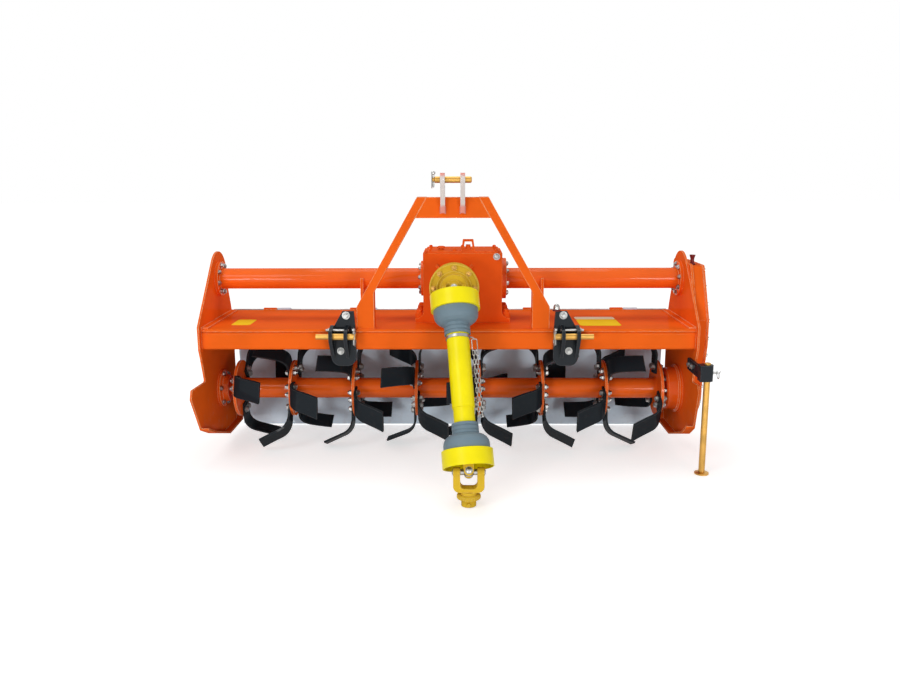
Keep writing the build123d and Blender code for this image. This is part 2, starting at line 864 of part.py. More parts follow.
# Telescoping shafts, built along the driveline from the upper joint
guard_start = ring_end + bell_length
hub_end = guard_start + 22
inner_guard_end = shaft_length - guard_start
guard_end = inner_guard_end - guard_open
inner_guard_start = guard_end - guard_overlap
profile_end = guard_end + 6
inner_start = inner_guard_start + 6
quarter_turn = Rot(0, 0, 90)
upper_fork = quarter_turn * fork(ear_outer, shaft_hub, hub_end)
upper_fork = upper_fork + round_z(hub_end - 1, profile_end, 0, 0, profile_radius)
upper_fork = upper_fork - round_z(inner_start - 5, profile_end, 0, 0, profile_bore + pin_fit)
parts["upper_shaft_yoke"] = shaft_frame * upper_fork
lower_end = Plane((0, 0, shaft_length), x_dir=(0, 1, 0), z_dir=(0, 0, -1)).location
lower_fork = lower_end * fork(ear_outer, shaft_hub, hub_end)
lower_fork = lower_fork + round_z(inner_start, shaft_length - hub_end + 1, 0, 0, profile_bore)
parts["lower_shaft_yoke"] = shaft_frame * lower_fork


# Guard rings, bells and tubes
def guard_ring():
    """Ring round a joint with an inward lip for the bell, joint at the origin, lip towards +Z."""
    inside = guard_ring_radius - guard_wall
    lip = bell_wide - 2 * guard_wall
    return turned(
        (inside, ring_start),
        (guard_ring_radius, ring_start),
        (guard_ring_radius, ring_end),
        (lip, ring_end),
        (lip, ring_end - guard_wall),
        (inside, ring_end - guard_wall),
    )


def bell_form(inset, top):
    """Solid bell made smaller by an inset: skirt, domed shoulder and collar up to the given height."""
    wide = bell_wide - inset
    narrow = bell_narrow - inset
    drop = bell_dome - bell_skirt
    return turned(
        (0, 0),
        (wide, 0),
        (wide, bell_skirt),
        (wide - 0.06 * drop, bell_skirt + 0.34 * drop),
        (wide - 0.24 * drop, bell_skirt + 0.64 * drop),
        (wide - 0.52 * drop, bell_skirt + 0.86 * drop),
        (narrow, bell_dome),
        (narrow, top),
        (0, top),
    )


def guard_bell():
    """Bell shell with a ribbed collar and a web that closes on the shaft."""
    web = 8.0
    body = bell_form(0, bell_length) - bell_form(guard_wall, bell_length - web)
    for level in (bell_dome + 10, bell_dome + 26):
        groove = Plane.XZ * area(bell_narrow - 2, bell_narrow + 2, level, level + 4)
        body = body - revolve(groove, Axis.Z, 360)
    return body - round_z(0, bell_length, 0, 0, shaft_hub + slide_gap)


def guard_tube(s0, s1, radius):
    """Plain guard tube."""
    inside = radius - guard_tube_wall
    return turned((inside, s0), (radius, s0), (radius, s1), (inside, s1))


inner_radius = guard_tube_radius - guard_tube_wall - slide_gap
parts["upper_guard_ring"] = shaft_frame * guard_ring()
parts["lower_guard_ring"] = shaft_frame * lower_end * guard_ring()
parts["upper_guard_bell"] = shaft_frame * Pos(0, 0, ring_end) * guard_bell()
parts["lower_guard_bell"] = shaft_frame * lower_end * Pos(0, 0, ring_end) * guard_bell()
parts["guard_tube_outer"] = shaft_frame * guard_tube(guard_start, guard_end, guard_tube_radius)
parts["guard_tube_inner"] = shaft_frame * guard_tube(inner_guard_start, inner_guard_end, inner_radius)

# Tractor yoke, hanging upright just over the ground
yoke_frame = Plane(lower_joint, x_dir=(1, 0, 0), z_dir=(0, 0, -1)).location
collar_start = fork_reach + fork_bridge + 14
collar_end = collar_start + 12
hub = turned(
    (0, collar_start - 4),
    (collar_radius - 6, collar_start - 4),
    (collar_radius, collar_start),
    (collar_radius, collar_end),
    (yoke_hub_radius, collar_end + 4),
    (yoke_hub_radius, yoke_length),
    (0, yoke_length),
)
tractor_yoke = fork(yoke_ear_outer, 30, collar_start) + hub
tractor_yoke = tractor_yoke - round_z(yoke_length - yoke_bore_depth, yoke_length, 0, 0, yoke_bore_radius)
parts["tractor_yoke"] = yoke_frame * tractor_yoke

# Safety chain: two strands hung from a lug on a band round the guard tube
band_start = guard_start + band_offset
band_radius = guard_tube_radius + band_thickness
lug_hole_radius = 7.0
lug_hole_s = band_start + 15
lug_half = 2.5
link_corner = 5.0
link_pitch = link_inner - slide_gap
chain_start = lug_hole_s + lug_hole_radius - 0.8 + link_inner / 2


def chain_link():
    """Flat link in the XZ plane, centred on the origin, long side along Z."""
    rim = area(-link_width / 2, link_width / 2, -link_inner / 2 - wire, link_inner / 2 + wire)
    rim = chamfer(rim.vertices(), link_corner)
    hole = area(wire - link_width / 2, link_width / 2 - wire, -link_inner / 2, link_inner / 2)
    return plate_y(rim - hole, -wire / 2, wire / 2)


link = chain_link()
links = []
for strand in (strand_near, strand_far):
    for index in range(link_count):
        turn = 90 * ((index + 1) % 2)
        links.append(Pos(strand, 0, chain_start + link_pitch * index) * Rot(0, 0, turn) * link)
lug_view = area(band_radius - 2, strand_far + 12, band_start, lug_hole_s + 12)
lug_view = fillet(lug_view.vertices().sort_by(Axis.X)[2:4], 10)
for strand in (strand_near, strand_far):
    lug_view = lug_view - disc(strand, lug_hole_s, lug_hole_radius)
lug = plate_y(lug_view, -lug_half, lug_half)
lug = lug + round_z(band_start, band_start + band_width, 0, 0, band_radius)
lug = lug - round_z(band_start - 1, band_start + band_width + 1, 0, 0, guard_tube_radius + slide_gap)
parts["safety_chain"] = shaft_frame * Compound(children=links + [lug])

# Output, centred on the plan box with the ground at zero
os.makedirs("parts", exist_ok=True)
shift = Location((-origin_x, -origin_y, 0))
for name, shape in parts.items():
    export_step(shape.moved(shift), "parts/" + name + ".step")
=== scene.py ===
"""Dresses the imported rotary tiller: paints nodes, adds fittings and sets the stage."""

import json
import math

import bmesh
import bpy
from bpy.props import FloatProperty, FloatVectorProperty, PointerProperty
from mathutils import Matrix, Quaternion, Vector


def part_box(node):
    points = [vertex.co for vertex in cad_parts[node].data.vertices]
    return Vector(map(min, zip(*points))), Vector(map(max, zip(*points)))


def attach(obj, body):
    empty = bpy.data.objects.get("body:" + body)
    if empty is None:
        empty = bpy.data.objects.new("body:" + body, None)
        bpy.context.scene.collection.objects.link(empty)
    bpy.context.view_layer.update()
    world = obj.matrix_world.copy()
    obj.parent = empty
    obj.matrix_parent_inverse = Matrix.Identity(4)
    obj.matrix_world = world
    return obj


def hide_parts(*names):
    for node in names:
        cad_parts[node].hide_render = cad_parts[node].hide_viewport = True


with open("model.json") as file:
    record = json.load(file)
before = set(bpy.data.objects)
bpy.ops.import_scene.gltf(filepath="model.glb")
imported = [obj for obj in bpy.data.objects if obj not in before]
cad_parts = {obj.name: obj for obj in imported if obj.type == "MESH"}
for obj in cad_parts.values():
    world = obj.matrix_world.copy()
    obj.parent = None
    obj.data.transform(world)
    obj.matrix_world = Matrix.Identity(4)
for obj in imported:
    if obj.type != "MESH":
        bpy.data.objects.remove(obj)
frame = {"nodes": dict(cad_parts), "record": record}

bl_info = {
    "name": "Rotary Tiller",
    "version": (1, 0, 0),
    "blender": (4, 5, 0),
    "location": "3D View > Sidebar > Tiller",
    "description": "Paints and fits out a tractor-mounted rotary tiller",
    "category": "Object",
}

BEHAVIOUR = frame["record"]["behaviour"]
JOINTS = {joint["name"]: joint for joint in BEHAVIOUR["joints"]}
ROTOR_AXIS = Vector(JOINTS["rotor_spin"]["pos_m"])
UPPER_JOINT = Vector(JOINTS["driveline_lift"]["pos_m"])
LOWER_JOINT = Vector(JOINTS["yoke_tilt"]["pos_m"])
X_AXIS = Vector((1, 0, 0))
Y_AXIS = Vector((0, 1, 0))
Z_AXIS = Vector((0, 0, 1))
SHAFT_DIR = (LOWER_JOINT - UPPER_JOINT).normalized()
SHAFT_SWING = SHAFT_DIR.cross(X_AXIS).normalized()
SHAFT_SIDE = SHAFT_SWING.cross(SHAFT_DIR).normalized()


def low(node):
    """Lowest corner of a node."""
    return Vector(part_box(node)[0])


def high(node):
    """Highest corner of a node."""
    return Vector(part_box(node)[1])


def middle(node):
    """Centre of a node's box."""
    return (low(node) + high(node)) / 2


def colour(title, text, value):
    """Colour property."""
    return FloatVectorProperty(
        name=title, description=text, default=value, size=3, subtype="COLOR", min=0, max=1
    )


def length(title, text, value):
    """Length property in metres."""
    return FloatProperty(name=title, description=text, default=value, unit="LENGTH", min=0)


def angle(title, text, degrees):
    """Angle property."""
    value = math.radians(degrees)
    return FloatProperty(name=title, description=text, default=value, subtype="ANGLE")


def number(title, text, value, unit="NONE"):
    """Plain number property."""
    return FloatProperty(name=title, description=text, default=value, min=0, unit=unit)


class TillerPaint(bpy.types.PropertyGroup):
    """Colours of the finishes."""

    orange: colour("Orange", "Main enamel", (0.86, 0.130, 0.012))
    casting: colour("Casting", "Enamel on the gearbox casting", (0.80, 0.105, 0.010))
    black: colour("Black", "Enamel on the hitch brackets", (0.014, 0.018, 0.023))
    blade: colour("Blade", "Dip paint on the blades", (0.015, 0.020, 0.025))
    guard: colour("Guard yellow", "Driveline guard tube and rings", (0.95, 0.81, 0.0))
    bell: colour("Guard grey", "Driveline guard bells", (0.165, 0.235, 0.28))
    amber: colour("Amber", "Enamel on yokes and clutch", (0.72, 0.47, 0.03))
    zinc: colour("Yellow zinc", "Plating on pins and stand", (0.60, 0.34, 0.085))
    steel: colour("Steel", "Bright steel", (0.42, 0.42, 0.41))
    # Pale painted highlight in place of the lugs' orange enamel
    lug: colour("Lug", "Pale painted highlight over the orange top link lugs", (0.70, 0.64, 0.61))
    # Painted light: the tailboard is made lighter and bluer than its paint, standing in for light
    # in the shade under the deck and offsetting the orange bounce
    sheet: colour("Tailboard", "Tailboard paint lightened with painted light", (0.70, 0.83, 0.94))
    label: colour("Label", "Blank labels on the deck", (0.95, 0.66, 0.03))
    label_pale: colour("Label strip", "Pale strip of a label", (0.90, 0.86, 0.62))
    plug: colour("Plug", "Filler plug", (0.16, 0.012, 0.012))


class TillerSizes(bpy.types.PropertyGroup):
    """Sizes of the fittings."""

    bolt: length("Bolt", "Corner radius of the frame bolts' heads", 0.0092)
    blade_bolt: length("Blade bolt", "Corner radius of the blade bolts' heads", 0.0124)
    tube_bolt_circle: length("Tube bolt circle", "Radius of the tube flanges' bolt circle", 0.060)
    foot_boss: length("Foot boss", "Height of the gearbox feet above the deck", 0.040)
    bead: length("Weld bead", "Radius of the weld beads", 0.0034)
    chain_wire: length("Chain wire", "Diameter of the chain's wire", 0.0033)
    chain_inner: length("Chain link", "Inner length of a chain link", 0.0185)
    chain_width: length("Chain width", "Outer width of a chain link", 0.0112)
    chain_hook: length("Chain hook", "Length of the wire ring that holds the chain", 0.046)
    strand_near: length("Near strand", "Near strand's distance from the shaft", 0.0555)
    strand_far: length("Far strand", "Far strand's distance from the shaft", 0.0675)
    guard_start: length("Guard start", "Guard tube's distance from the upper joint", 0.178)
    flange_pitch: length("Flange pitch", "Spacing of the rotor flanges", 0.270)
    flange_end: length("End pitch", "Spacing of the outermost rotor flanges", 0.237)
    first_phase: angle("First phase", "Angle of the first blade", 68)
    flange_phase: angle("Flange phase", "Turn of the blades from flange to flange", 15)


class TillerStage(bpy.types.PropertyGroup):
    """Camera and lamps."""

    lens: number("Lens", "Focal length", 32.67, "CAMERA")
    fill: number("Fill", "Strength of the light all round", 0.42)
    camera_x: length("Camera across", "Sideways place of the camera", 0.0123)
    camera_back: length("Camera distance", "Distance in front of the origin", 3.2571)
    camera_z: length("Camera height", "Height above the floor", 1.1899)
    yaw: angle("Yaw", "Turn to the left", 0.774)
    pitch: angle("Pitch", "Downward tilt", 11.382)
    roll: angle("Roll", "Tilt of the horizon", -0.175)


def sizes():
    """Sizes of the scene's fittings."""
    return bpy.context.scene.tiller_sizes


class Wire:
    """Node socket that takes part in arithmetic."""

    def __init__(self, look, socket):
        self.look = look
        self.socket = socket

    def maths(self, operation, first, second, clamp=False):
        options = {"operation": operation, "use_clamp": clamp}
        return self.look.node("ShaderNodeMath", options, {0: first, 1: second})

    def __add__(self, other):
        return self.maths("ADD", self, other)

    def __sub__(self, other):
        return self.maths("SUBTRACT", self, other)

    def __rsub__(self, other):
        return self.maths("SUBTRACT", other, self)

    def __mul__(self, other):
        return self.maths("MULTIPLY", self, other)

    def clamped(self):
        return self.maths("ADD", self, 0.0, True)

    __radd__ = __add__
    __rmul__ = __mul__


class Board:
    """Node tree that is built from calls."""

    def __init__(self, tree):
        self.tree = tree

    def node(self, kind, options, sockets, output=0):
        """Adds a node, sets its options and then its sockets; returns one output."""
        made = self.tree.nodes.new(kind)
        for key, value in options.items():
            setattr(made, key, value)
        for key, value in sockets.items():
            self.feed(made.inputs[key], value)
        return Wire(self, made.outputs[output])

    def feed(self, socket, value):
        """Links a wire or a list of wires to a socket, or sets a plain value."""
        if isinstance(value, list):
            for part in value:
                self.feed(socket, part)
        elif isinstance(value, Wire):
            self.tree.links.new(value.socket, socket)
        elif getattr(socket, "type", "") == "RGBA":
            socket.default_value = (*value[:3], 1)
        else:
            socket.default_value = value

    def seen(self):
        """Factor that is 1 for what the camera sees, also in mirrors."""
        path = self.tree.nodes.new("ShaderNodeLightPath")
        rays = ("Is Camera Ray", "Is Glossy Ray", "Is Transmission Ray")
        first, second, third = [Wire(self, path.outputs[ray]) for ray in rays]
        return (first + second + third).clamped()


class Look(Board):
    """Material built from expressions around one Principled BSDF."""

    def __init__(self, name):
        self.material = bpy.data.materials.new(name)
        self.material.use_nodes = True
        super().__init__(self.material.node_tree)
        self.shader = self.tree.nodes["Principled BSDF"]
        self.place = self.node("ShaderNodeTexCoord", {}, {}, "Object")

    def put(self, **values):
        """Sets sockets of the shader by name, with underscores for spaces."""
        for key, value in values.items():
            self.feed(self.shader.inputs[key.replace("_", " ")], value)

    def noise(self, scale, detail=3.0, stretch=None):
        """Noise over the piece, from 0 to 1."""
        place = self.place
        if stretch:
            place = self.node("ShaderNodeMapping", {}, {"Vector": place, "Scale": stretch})
        sockets = {"Vector": place, "Scale": scale, "Detail": detail}
        return self.node("ShaderNodeTexNoise", {}, sockets, "Fac")

    def band(self, value, start, end):
        """Smooth step of a value between two limits."""
        sockets = {"Value": value, "From Min": start, "From Max": end}
        return self.node("ShaderNodeMapRange", {"interpolation_type": "SMOOTHSTEP"}, sockets)

    def mix(self, factor, first, second):
        """Blend of two colours."""
        options = {"data_type": "RGBA"}
        return self.node("ShaderNodeMix", options, {0: factor, 6: first, 7: second}, 2)

    def height(self):
        """Height above the ground."""
        return self.node("ShaderNodeSeparateXYZ", {}, {0: self.place}, "Z")

    def bump(self, value, strength, distance, round_off=0.0):
        """Bump that feeds the normal, over edges that are rounded off."""
        sockets = {"Height": value, "Strength": strength, "Distance": distance}
        if round_off:
            sockets["Normal"] = self.node("ShaderNodeBevel", {"samples": 4}, {"Radius": round_off})
        self.put(Normal=self.node("ShaderNodeBump", {}, sockets, "Normal"))

    def edge_mask(self, reach, grain):
        """Mask that is 1 along outer and inner edges, broken up by noise."""
        soft = self.node("ShaderNodeBevel", {"samples": 4}, {"Radius": reach})
        flat = self.node("ShaderNodeNewGeometry", {}, {}, "True Normal")
        options = {"operation": "DOT_PRODUCT"}
        same = self.node("ShaderNodeVectorMath", options, {0: soft, 1: flat}, "Value")
        return self.band(1 - same, 0.02, 0.16) * self.band(self.noise(grain, 4.0), 0.2, 0.55)


def shade(tint, factor):
    """Colour made lighter or darker."""
    return tuple(min(1.0, channel * factor) for channel in tint)


def enamel(name, tint, edge, roughness, coat, peel, lug_ends_tint, dust):
    """Enamel with faint mottling, edges lightened by wear and a painted highlight, orange peel and
    a film of dust low down.
    """
    look = Look(name)
    mottle = look.noise(5.0, 4.0)
    base = look.mix(look.band(mottle, 0.3, 0.7), shade(tint, 0.92), shade(tint, 1.06))
    # Edges take a lighter colour, partly wear and partly a painted highlight; small parts without
    # an edge colour get lighter random flecks instead
    if edge:
        wear_and_edge_highlight = look.edge_mask(0.005, 55.0)
    else:
        wear_and_edge_highlight = look.band(look.noise(90.0, 3.0), 0.6, 0.75)
    base = look.mix(0.85 * wear_and_edge_highlight, base, edge or shade(tint, 1.25))
    # Lug ends take their orange, lightened by a painted reflection
    if lug_ends_tint:
        base = look.mix(lug_ends_mask(look), base, lug_ends_tint)
    low_down = 1 - look.band(look.height(), 0.05, 0.4)
    film = look.band(look.noise(38.0, 5.0), 0.52, 0.78) * low_down
    base = look.mix(film * dust, base, DUST_TINT)
    gloss = roughness + 0.1 * mottle + 0.25 * film
    look.put(Base_Color=base, Roughness=gloss, Coat_Weight=coat * (1 - wear_and_edge_highlight))
    look.put(Coat_Roughness=0.08, Specular_IOR_Level=0.0)
    look.bump(look.noise(peel, 2.0), 0.05, 0.001, 0.003 if edge else 0.0)
    return look.material


def lug_ends_mask(look):
    """Mask at the foot and the tips of the top link lugs, where their orange shows through the
    painted highlight.
    """
    drift = look.height() + 0.012 * look.noise(60.0, 3.0)
    bottom = low("top_link_lugs").z
    top = high("top_link_lugs").z
    foot = 1 - look.band(drift, bottom + 0.028, bottom + 0.044)
    tips = look.band(drift, top - 0.012, top + 0.004)
    return (0.8 * (foot + tips)).clamped()


def plastic(name, tint, roughness, sheen):
    """Moulded plastic with a fine grain."""
    look = Look(name)
    cloud = look.noise(7.0, 3.0)
    base = look.mix(look.band(cloud, 0.3, 0.7), shade(tint, 0.94), shade(tint, 1.04))
    scuff = look.edge_mask(0.003, 80.0)
    base = look.mix(0.4 * scuff, base, shade(tint, 1.5))
    look.put(Base_Color=base, Roughness=roughness + 0.08 * cloud + 0.15 * scuff)
    look.put(Specular_IOR_Level=sheen)
    look.bump(look.noise(420.0, 2.0), 0.06, 0.0006, 0.002)
    return look.material


def plated(name, tint, roughness, streak):
    """Plated or bright metal with soft streaks and painted shade along its edges."""
    look = Look(name)
    cloud = look.noise(16.0, 4.0)
    drawn = look.noise(60.0, 2.0, streak)
    base = look.mix(look.band(cloud, 0.3, 0.7), shade(tint, 0.8), shade(tint, 1.1))
    painted_edge_shade = look.edge_mask(0.0012, 30.0)
    # Painted shade: edges darkened to stand in for the shadow in the gaps round heads, nuts and
    # washers
    base = look.mix(0.8 * painted_edge_shade, base, shade(tint, 0.2))
    gloss = roughness + 0.12 * cloud + 0.08 * drawn
    look.put(Base_Color=base, Metallic=1.0, Roughness=gloss)
    look.bump(drawn, 0.04, 0.0005)
    return look.material


FINISH_NODES = {
    "orange": (
        *("deck_plate", "front_beam", "left_side_plate", "right_side_plate", "gear_case"),
        *("gusset_left", "gusset_right", "mast_leg_left", "mast_leg_right", "mast_top_bar"),
    ),
    "tube": (
        *("left_tube", "right_tube", "rotor_tube"),
        *("bearing_housing_left", "bearing_housing_right"),
    ),
    "casting": ("gearbox_housing", "gearbox_filler", "gearbox_breather", "input_bearing_cap"),
    "black": ("hitch_bracket_left", "hitch_bracket_right", "stand_bracket"),
    "blade": ("blades_left", "blades_right"),
    "guard": ("upper_guard_ring", "lower_guard_ring", "guard_tube_outer", "guard_tube_inner"),
    "bell": ("upper_guard_bell", "lower_guard_bell"),
    "amber": (
        *("clutch_disc", "implement_yoke", "tractor_yoke"),
        *("upper_shaft_yoke", "lower_shaft_yoke"),
    ),
    "zinc": ("top_link_pin", "hitch_pin_left", "hitch_pin_right", "stand_leg"),
    "steel": ("hinge_rod", "upper_cross", "lower_cross", "safety_chain"),
    "lug": ("top_link_lugs",),
    "sheet": ("tailboard",),
    "plug": ("gear_case_plug",),
}
NODE_FINISH = {node: finish for finish, nodes in FINISH_NODES.items() for node in nodes}

DUST = 0.16
DUST_TINT = (0.42, 0.33, 0.25)
DARK_DUST = 0.03
# Edge colour of the orange: wear with a painted highlight
EDGE_HIGHLIGHT_ORANGE = (1.0, 0.68, 0.38)
# Orange of the lugs' ends, made pinker by a painted reflection
LUG_ENDS_ORANGE_SHEEN = (0.80, 0.22, 0.16)
# Enamels: name, colour, colour of the edges (wear with a painted highlight), roughness, clear
# coat, scale of orange peel
ENAMELS = {
    "orange": ("orange enamel", "orange", EDGE_HIGHLIGHT_ORANGE, 0.24, 0.03, 160.0),
    "tube": ("glossy orange enamel", "orange", EDGE_HIGHLIGHT_ORANGE, 0.2, 0.3, 160.0),
    "bead": ("enamel on small parts", "orange", None, 0.3, 0.1, 120.0),
    "casting": ("casting enamel", "casting", (0.95, 0.33, 0.10), 0.32, 0.04, 90.0),
    "black": ("black enamel", "black", (0.11, 0.12, 0.13), 0.28, 0.4, 150.0),
    "blade": ("blade dip paint", "blade", (0.08, 0.08, 0.082), 0.38, 0.15, 70.0),
    "amber": ("amber enamel", "amber", (0.92, 0.66, 0.16), 0.28, 0.12, 140.0),
    # Tailboard: its colour is lightened and blued as painted light for the shade under the deck
    "sheet": ("tailboard paint", "sheet", (0.86, 0.90, 0.93), 0.42, 0.1, 120.0),
    # Lugs: pale painted highlight over their orange, with edges lighter still
    "lug": ("lug primer", "lug", (0.86, 0.82, 0.80), 0.4, 0.1, 120.0),
}
# Plastics: name, roughness, sheen
PLASTICS = {
    "guard": ("guard yellow plastic", 0.3, 0.25),
    "bell": ("guard grey plastic", 0.42, 0.25),
    "plug": ("plug plastic", 0.4, 0.25),
    "label": ("label film", 0.35, 0.0),
    "label_pale": ("label strip film", 0.35, 0.0),
}
# Plated metals: name, roughness, stretch of the streaks
METALS = {
    "zinc": ("yellow zinc", 0.26, (1.0, 1.0, 0.2)),
    "steel": ("bright steel", 0.24, (0.2, 1.0, 1.0)),
}
FINISH_NAMES = {key: row[0] for key, row in {**ENAMELS, **PLASTICS, **METALS}.items()}


def make_finishes():
    """Makes every material."""
    paint = bpy.context.scene.tiller_paint
    for key, (name, tint, *row) in ENAMELS.items():
        lug_ends_tint = LUG_ENDS_ORANGE_SHEEN if key == "lug" else None
        dust = DARK_DUST if key in ("black", "blade") else DUST
        enamel(name, getattr(paint, tint), *row, lug_ends_tint, dust)
    for key, (name, *row) in PLASTICS.items():
        plastic(name, getattr(paint, key), *row)
    for key, (name, *row) in METALS.items():
        plated(name, getattr(paint, key), *row)


def finishes():
    """Materials by finish, made at the first call."""
    if FINISH_NAMES["orange"] not in bpy.data.materials:
        make_finishes()
    return {key: bpy.data.materials[name] for key, name in FINISH_NAMES.items()}


class TILLER_OT_paint(bpy.types.Operator):
    """Give every node its finish"""

    bl_idname = "tiller.paint"
    bl_label = "Paint Nodes"

    def execute(self, context):
        looks = finishes()
        for name, obj in frame["nodes"].items():
            obj.data.materials.clear()
            obj.data.materials.append(looks[NODE_FINISH[name]])
        return {"FINISHED"}


class Tree(Board):
    """Geometry node group built from calls, with named inputs."""

    def __init__(self, name):
        super().__init__(bpy.data.node_groups.new(name, "GeometryNodeTree"))
        self.face = self.tree.interface
        self.face.new_socket("Geometry", in_out="INPUT", socket_type="NodeSocketGeometry")
        self.face.new_socket("Geometry", in_out="OUTPUT", socket_type="NodeSocketGeometry")
        self.entry = self.tree.nodes.new("NodeGroupInput")
        self.exit = self.tree.nodes.new("NodeGroupOutput")
        self.points = Wire(self, self.entry.outputs[0])
        self.face.new_socket("Material", in_out="INPUT", socket_type="NodeSocketMaterial")
        self.finish = Wire(self, self.entry.outputs["Material"])

    def size(self, name, value):
        """Named number that the modifier can set."""
        item = self.face.new_socket(name, in_out="INPUT", socket_type="NodeSocketFloat")
        item.default_value = value
        return Wire(self, self.entry.outputs[name])

    def raised(self, shape, height):
        """Shape moved up its own axis."""
        lift = self.node("ShaderNodeCombineXYZ", {}, {"Z": height})
        return self.node("GeometryNodeTransform", {}, {"Geometry": shape, "Translation": lift})

    def drum(self, sides, radius, depth, base):
        """Upright prism that stands on a height."""
        sockets = {"Vertices": sides, "Radius": radius, "Depth": depth}
        shape = self.node("GeometryNodeMeshCylinder", {}, sockets, "Mesh")
        return self.raised(shape, base + 0.5 * depth)

    def capped(self, sides, bottom, top, depth, base):
        """Upright frustum that stands on a height."""
        sockets = {"Vertices": sides, "Radius Top": top, "Radius Bottom": bottom, "Depth": depth}
        return self.raised(self.node("GeometryNodeMeshCone", {}, sockets, "Mesh"), base)

    def stepped(self, gap):
        """The input lines as points with a gap between them."""
        line = self.node("GeometryNodeMeshToCurve", {}, {0: self.points})
        sockets = {"Curve": line, "Length": gap}
        return self.node("GeometryNodeResampleCurve", {"mode": "LENGTH"}, sockets)

    def joined(self, *shapes):
        """Shapes as one geometry."""
        return self.node("GeometryNodeJoinGeometry", {}, {0: list(shapes)})

    def spread(self, shape, points):
        """Copies of a shape on points that carry a turn and a size."""
        kind = "GeometryNodeInputNamedAttribute"
        turn = self.node(kind, {"data_type": "FLOAT_VECTOR"}, {"Name": "turn"})
        size = self.node(kind, {"data_type": "FLOAT"}, {"Name": "size"})
        turn = self.node("FunctionNodeEulerToRotation", {}, {0: turn})
        sockets = {"Points": points, "Instance": shape, "Rotation": turn, "Scale": size}
        return self.node("GeometryNodeInstanceOnPoints", {}, sockets)

    def close(self, geometry):
        """Ends the tree as real mesh with its finish."""
        geometry = self.node("GeometryNodeRealizeInstances", {}, {0: geometry})
        sockets = {"Geometry": geometry, "Material": self.finish}
        geometry = self.node("GeometryNodeSetMaterial", {}, sockets)
        self.tree.links.new(geometry.socket, self.exit.inputs[0])
        return self.tree


WASHER_HEIGHT = 0.2
HEAD_HEIGHT = 0.7


def hex_tree():
    """Hexagon head or nut on a washer, with the end of its stud, for a corner radius of 1."""
    tree = Tree("hex fastener")
    stud = tree.size("Stud Length", 0.26)
    top = WASHER_HEIGHT + HEAD_HEIGHT
    plate = tree.drum(20, 1.28, WASHER_HEIGHT, 0.0)
    block = tree.drum(6, 1.0, HEAD_HEIGHT, WASHER_HEIGHT)
    crown = tree.capped(12, 0.9, 0.74, 0.12, top)
    end = tree.drum(12, 0.6, stud, top)
    return tree.close(tree.spread(tree.joined(plate, block, crown, end), tree.points))


def round_tree():
    """Low round cap with a raised rim, for rivets and bearing cups of radius 1."""
    tree = Tree("round cap")
    depth = tree.size("Depth", 0.35)
    rim = tree.drum(20, 1.0, depth, 0.0)
    dome = tree.capped(20, 0.84, 0.5, 0.22, depth)
    return tree.close(tree.spread(tree.joined(rim, dome), tree.points))


def weld_tree():
    """Weld bead of overlapping ripples along a line."""
    tree = Tree("weld bead")
    bead = tree.size("Bead", 0.004)
    points = tree.stepped(0.75 * bead)
    sockets = {"Radius": bead, "Subdivisions": 2}
    ripple = tree.node("GeometryNodeMeshIcoSphere", {}, sockets, "Mesh")
    sockets = {"Points": points, "Instance": ripple}
    return tree.close(tree.node("GeometryNodeInstanceOnPoints", {}, sockets))


def rim_tree():
    """Hexagon heads evenly spaced along a closed line on an upright face towards +X."""
    tree = Tree("rim bolts")
    spacing = tree.size("Spacing", 0.075)
    size = tree.size("Size", 0.008)
    plate = tree.drum(20, 1.3, WASHER_HEIGHT, 0.0)
    shape = tree.joined(plate, tree.drum(6, 1.0, HEAD_HEIGHT, WASHER_HEIGHT))
    sockets = {"Points": tree.stepped(spacing), "Instance": shape, "Scale": size}
    sockets["Rotation"] = (0, math.pi / 2, 0)
    return tree.close(tree.node("GeometryNodeInstanceOnPoints", {}, sockets))


def link_tree():
    """Round-wire chain links."""
    tree = Tree("chain link")
    wire = tree.size("Wire", 0.004)
    inner = tree.size("Inner Length", 0.022)
    width = tree.size("Width", 0.014)
    sockets = {"Width": width - wire, "Height": inner + wire}
    path = tree.node("GeometryNodeCurvePrimitiveQuadrilateral", {}, sockets)
    sockets = {"Curve": path, "Count": 5, "Radius": 0.499 * (width - wire)}
    path = tree.node("GeometryNodeFilletCurve", {"mode": "POLY"}, sockets)
    sockets = {"Resolution": 8, "Radius": 0.5 * wire}
    ring = tree.node("GeometryNodeCurvePrimitiveCircle", {}, sockets)
    shape = tree.node("GeometryNodeCurveToMesh", {}, {"Curve": path, "Profile Curve": ring})
    return tree.close(tree.spread(shape, tree.points))


SMOOTH_ANGLE = math.radians(38)


def fitted(mesh, tree, finish, **values):
    """Plain mesh that a tree makes from a mesh of points or lines."""
    values["Material"] = finishes()[finish]
    holder = bpy.data.objects.new("holder", mesh)
    bpy.context.collection.objects.link(holder)
    modifier = holder.modifiers.new("fit", "NODES")
    modifier.node_group = tree
    for item in tree.interface.items_tree:
        key = item.name.replace(" ", "_")
        if item.in_out == "INPUT" and key in values:
            modifier[item.identifier] = values[key]
    graph = bpy.context.evaluated_depsgraph_get()
    made = bpy.data.meshes.new_from_object(holder.evaluated_get(graph), depsgraph=graph)
    bpy.data.objects.remove(holder)
    return smoothed(made)


def smoothed(mesh):
    """Mesh shaded smooth up to an angle."""
    mesh.shade_smooth()
    mesh.set_sharp_from_angle(angle=SMOOTH_ANGLE)
    return mesh


def piece(name, mesh, body, slot, *replaced):
    """Object that rides on a body; its slot argument is not used."""
    obj = bpy.data.objects.new(name, mesh)
    bpy.context.collection.objects.link(obj)
    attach(obj, body)
    if replaced:
        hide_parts(*replaced)


def fit(name, body, slot, points, tree, finish, **values):
    """Piece that a tree makes from a mesh of points or lines."""
    piece(name, fitted(points, tree, finish, **values), body, slot)


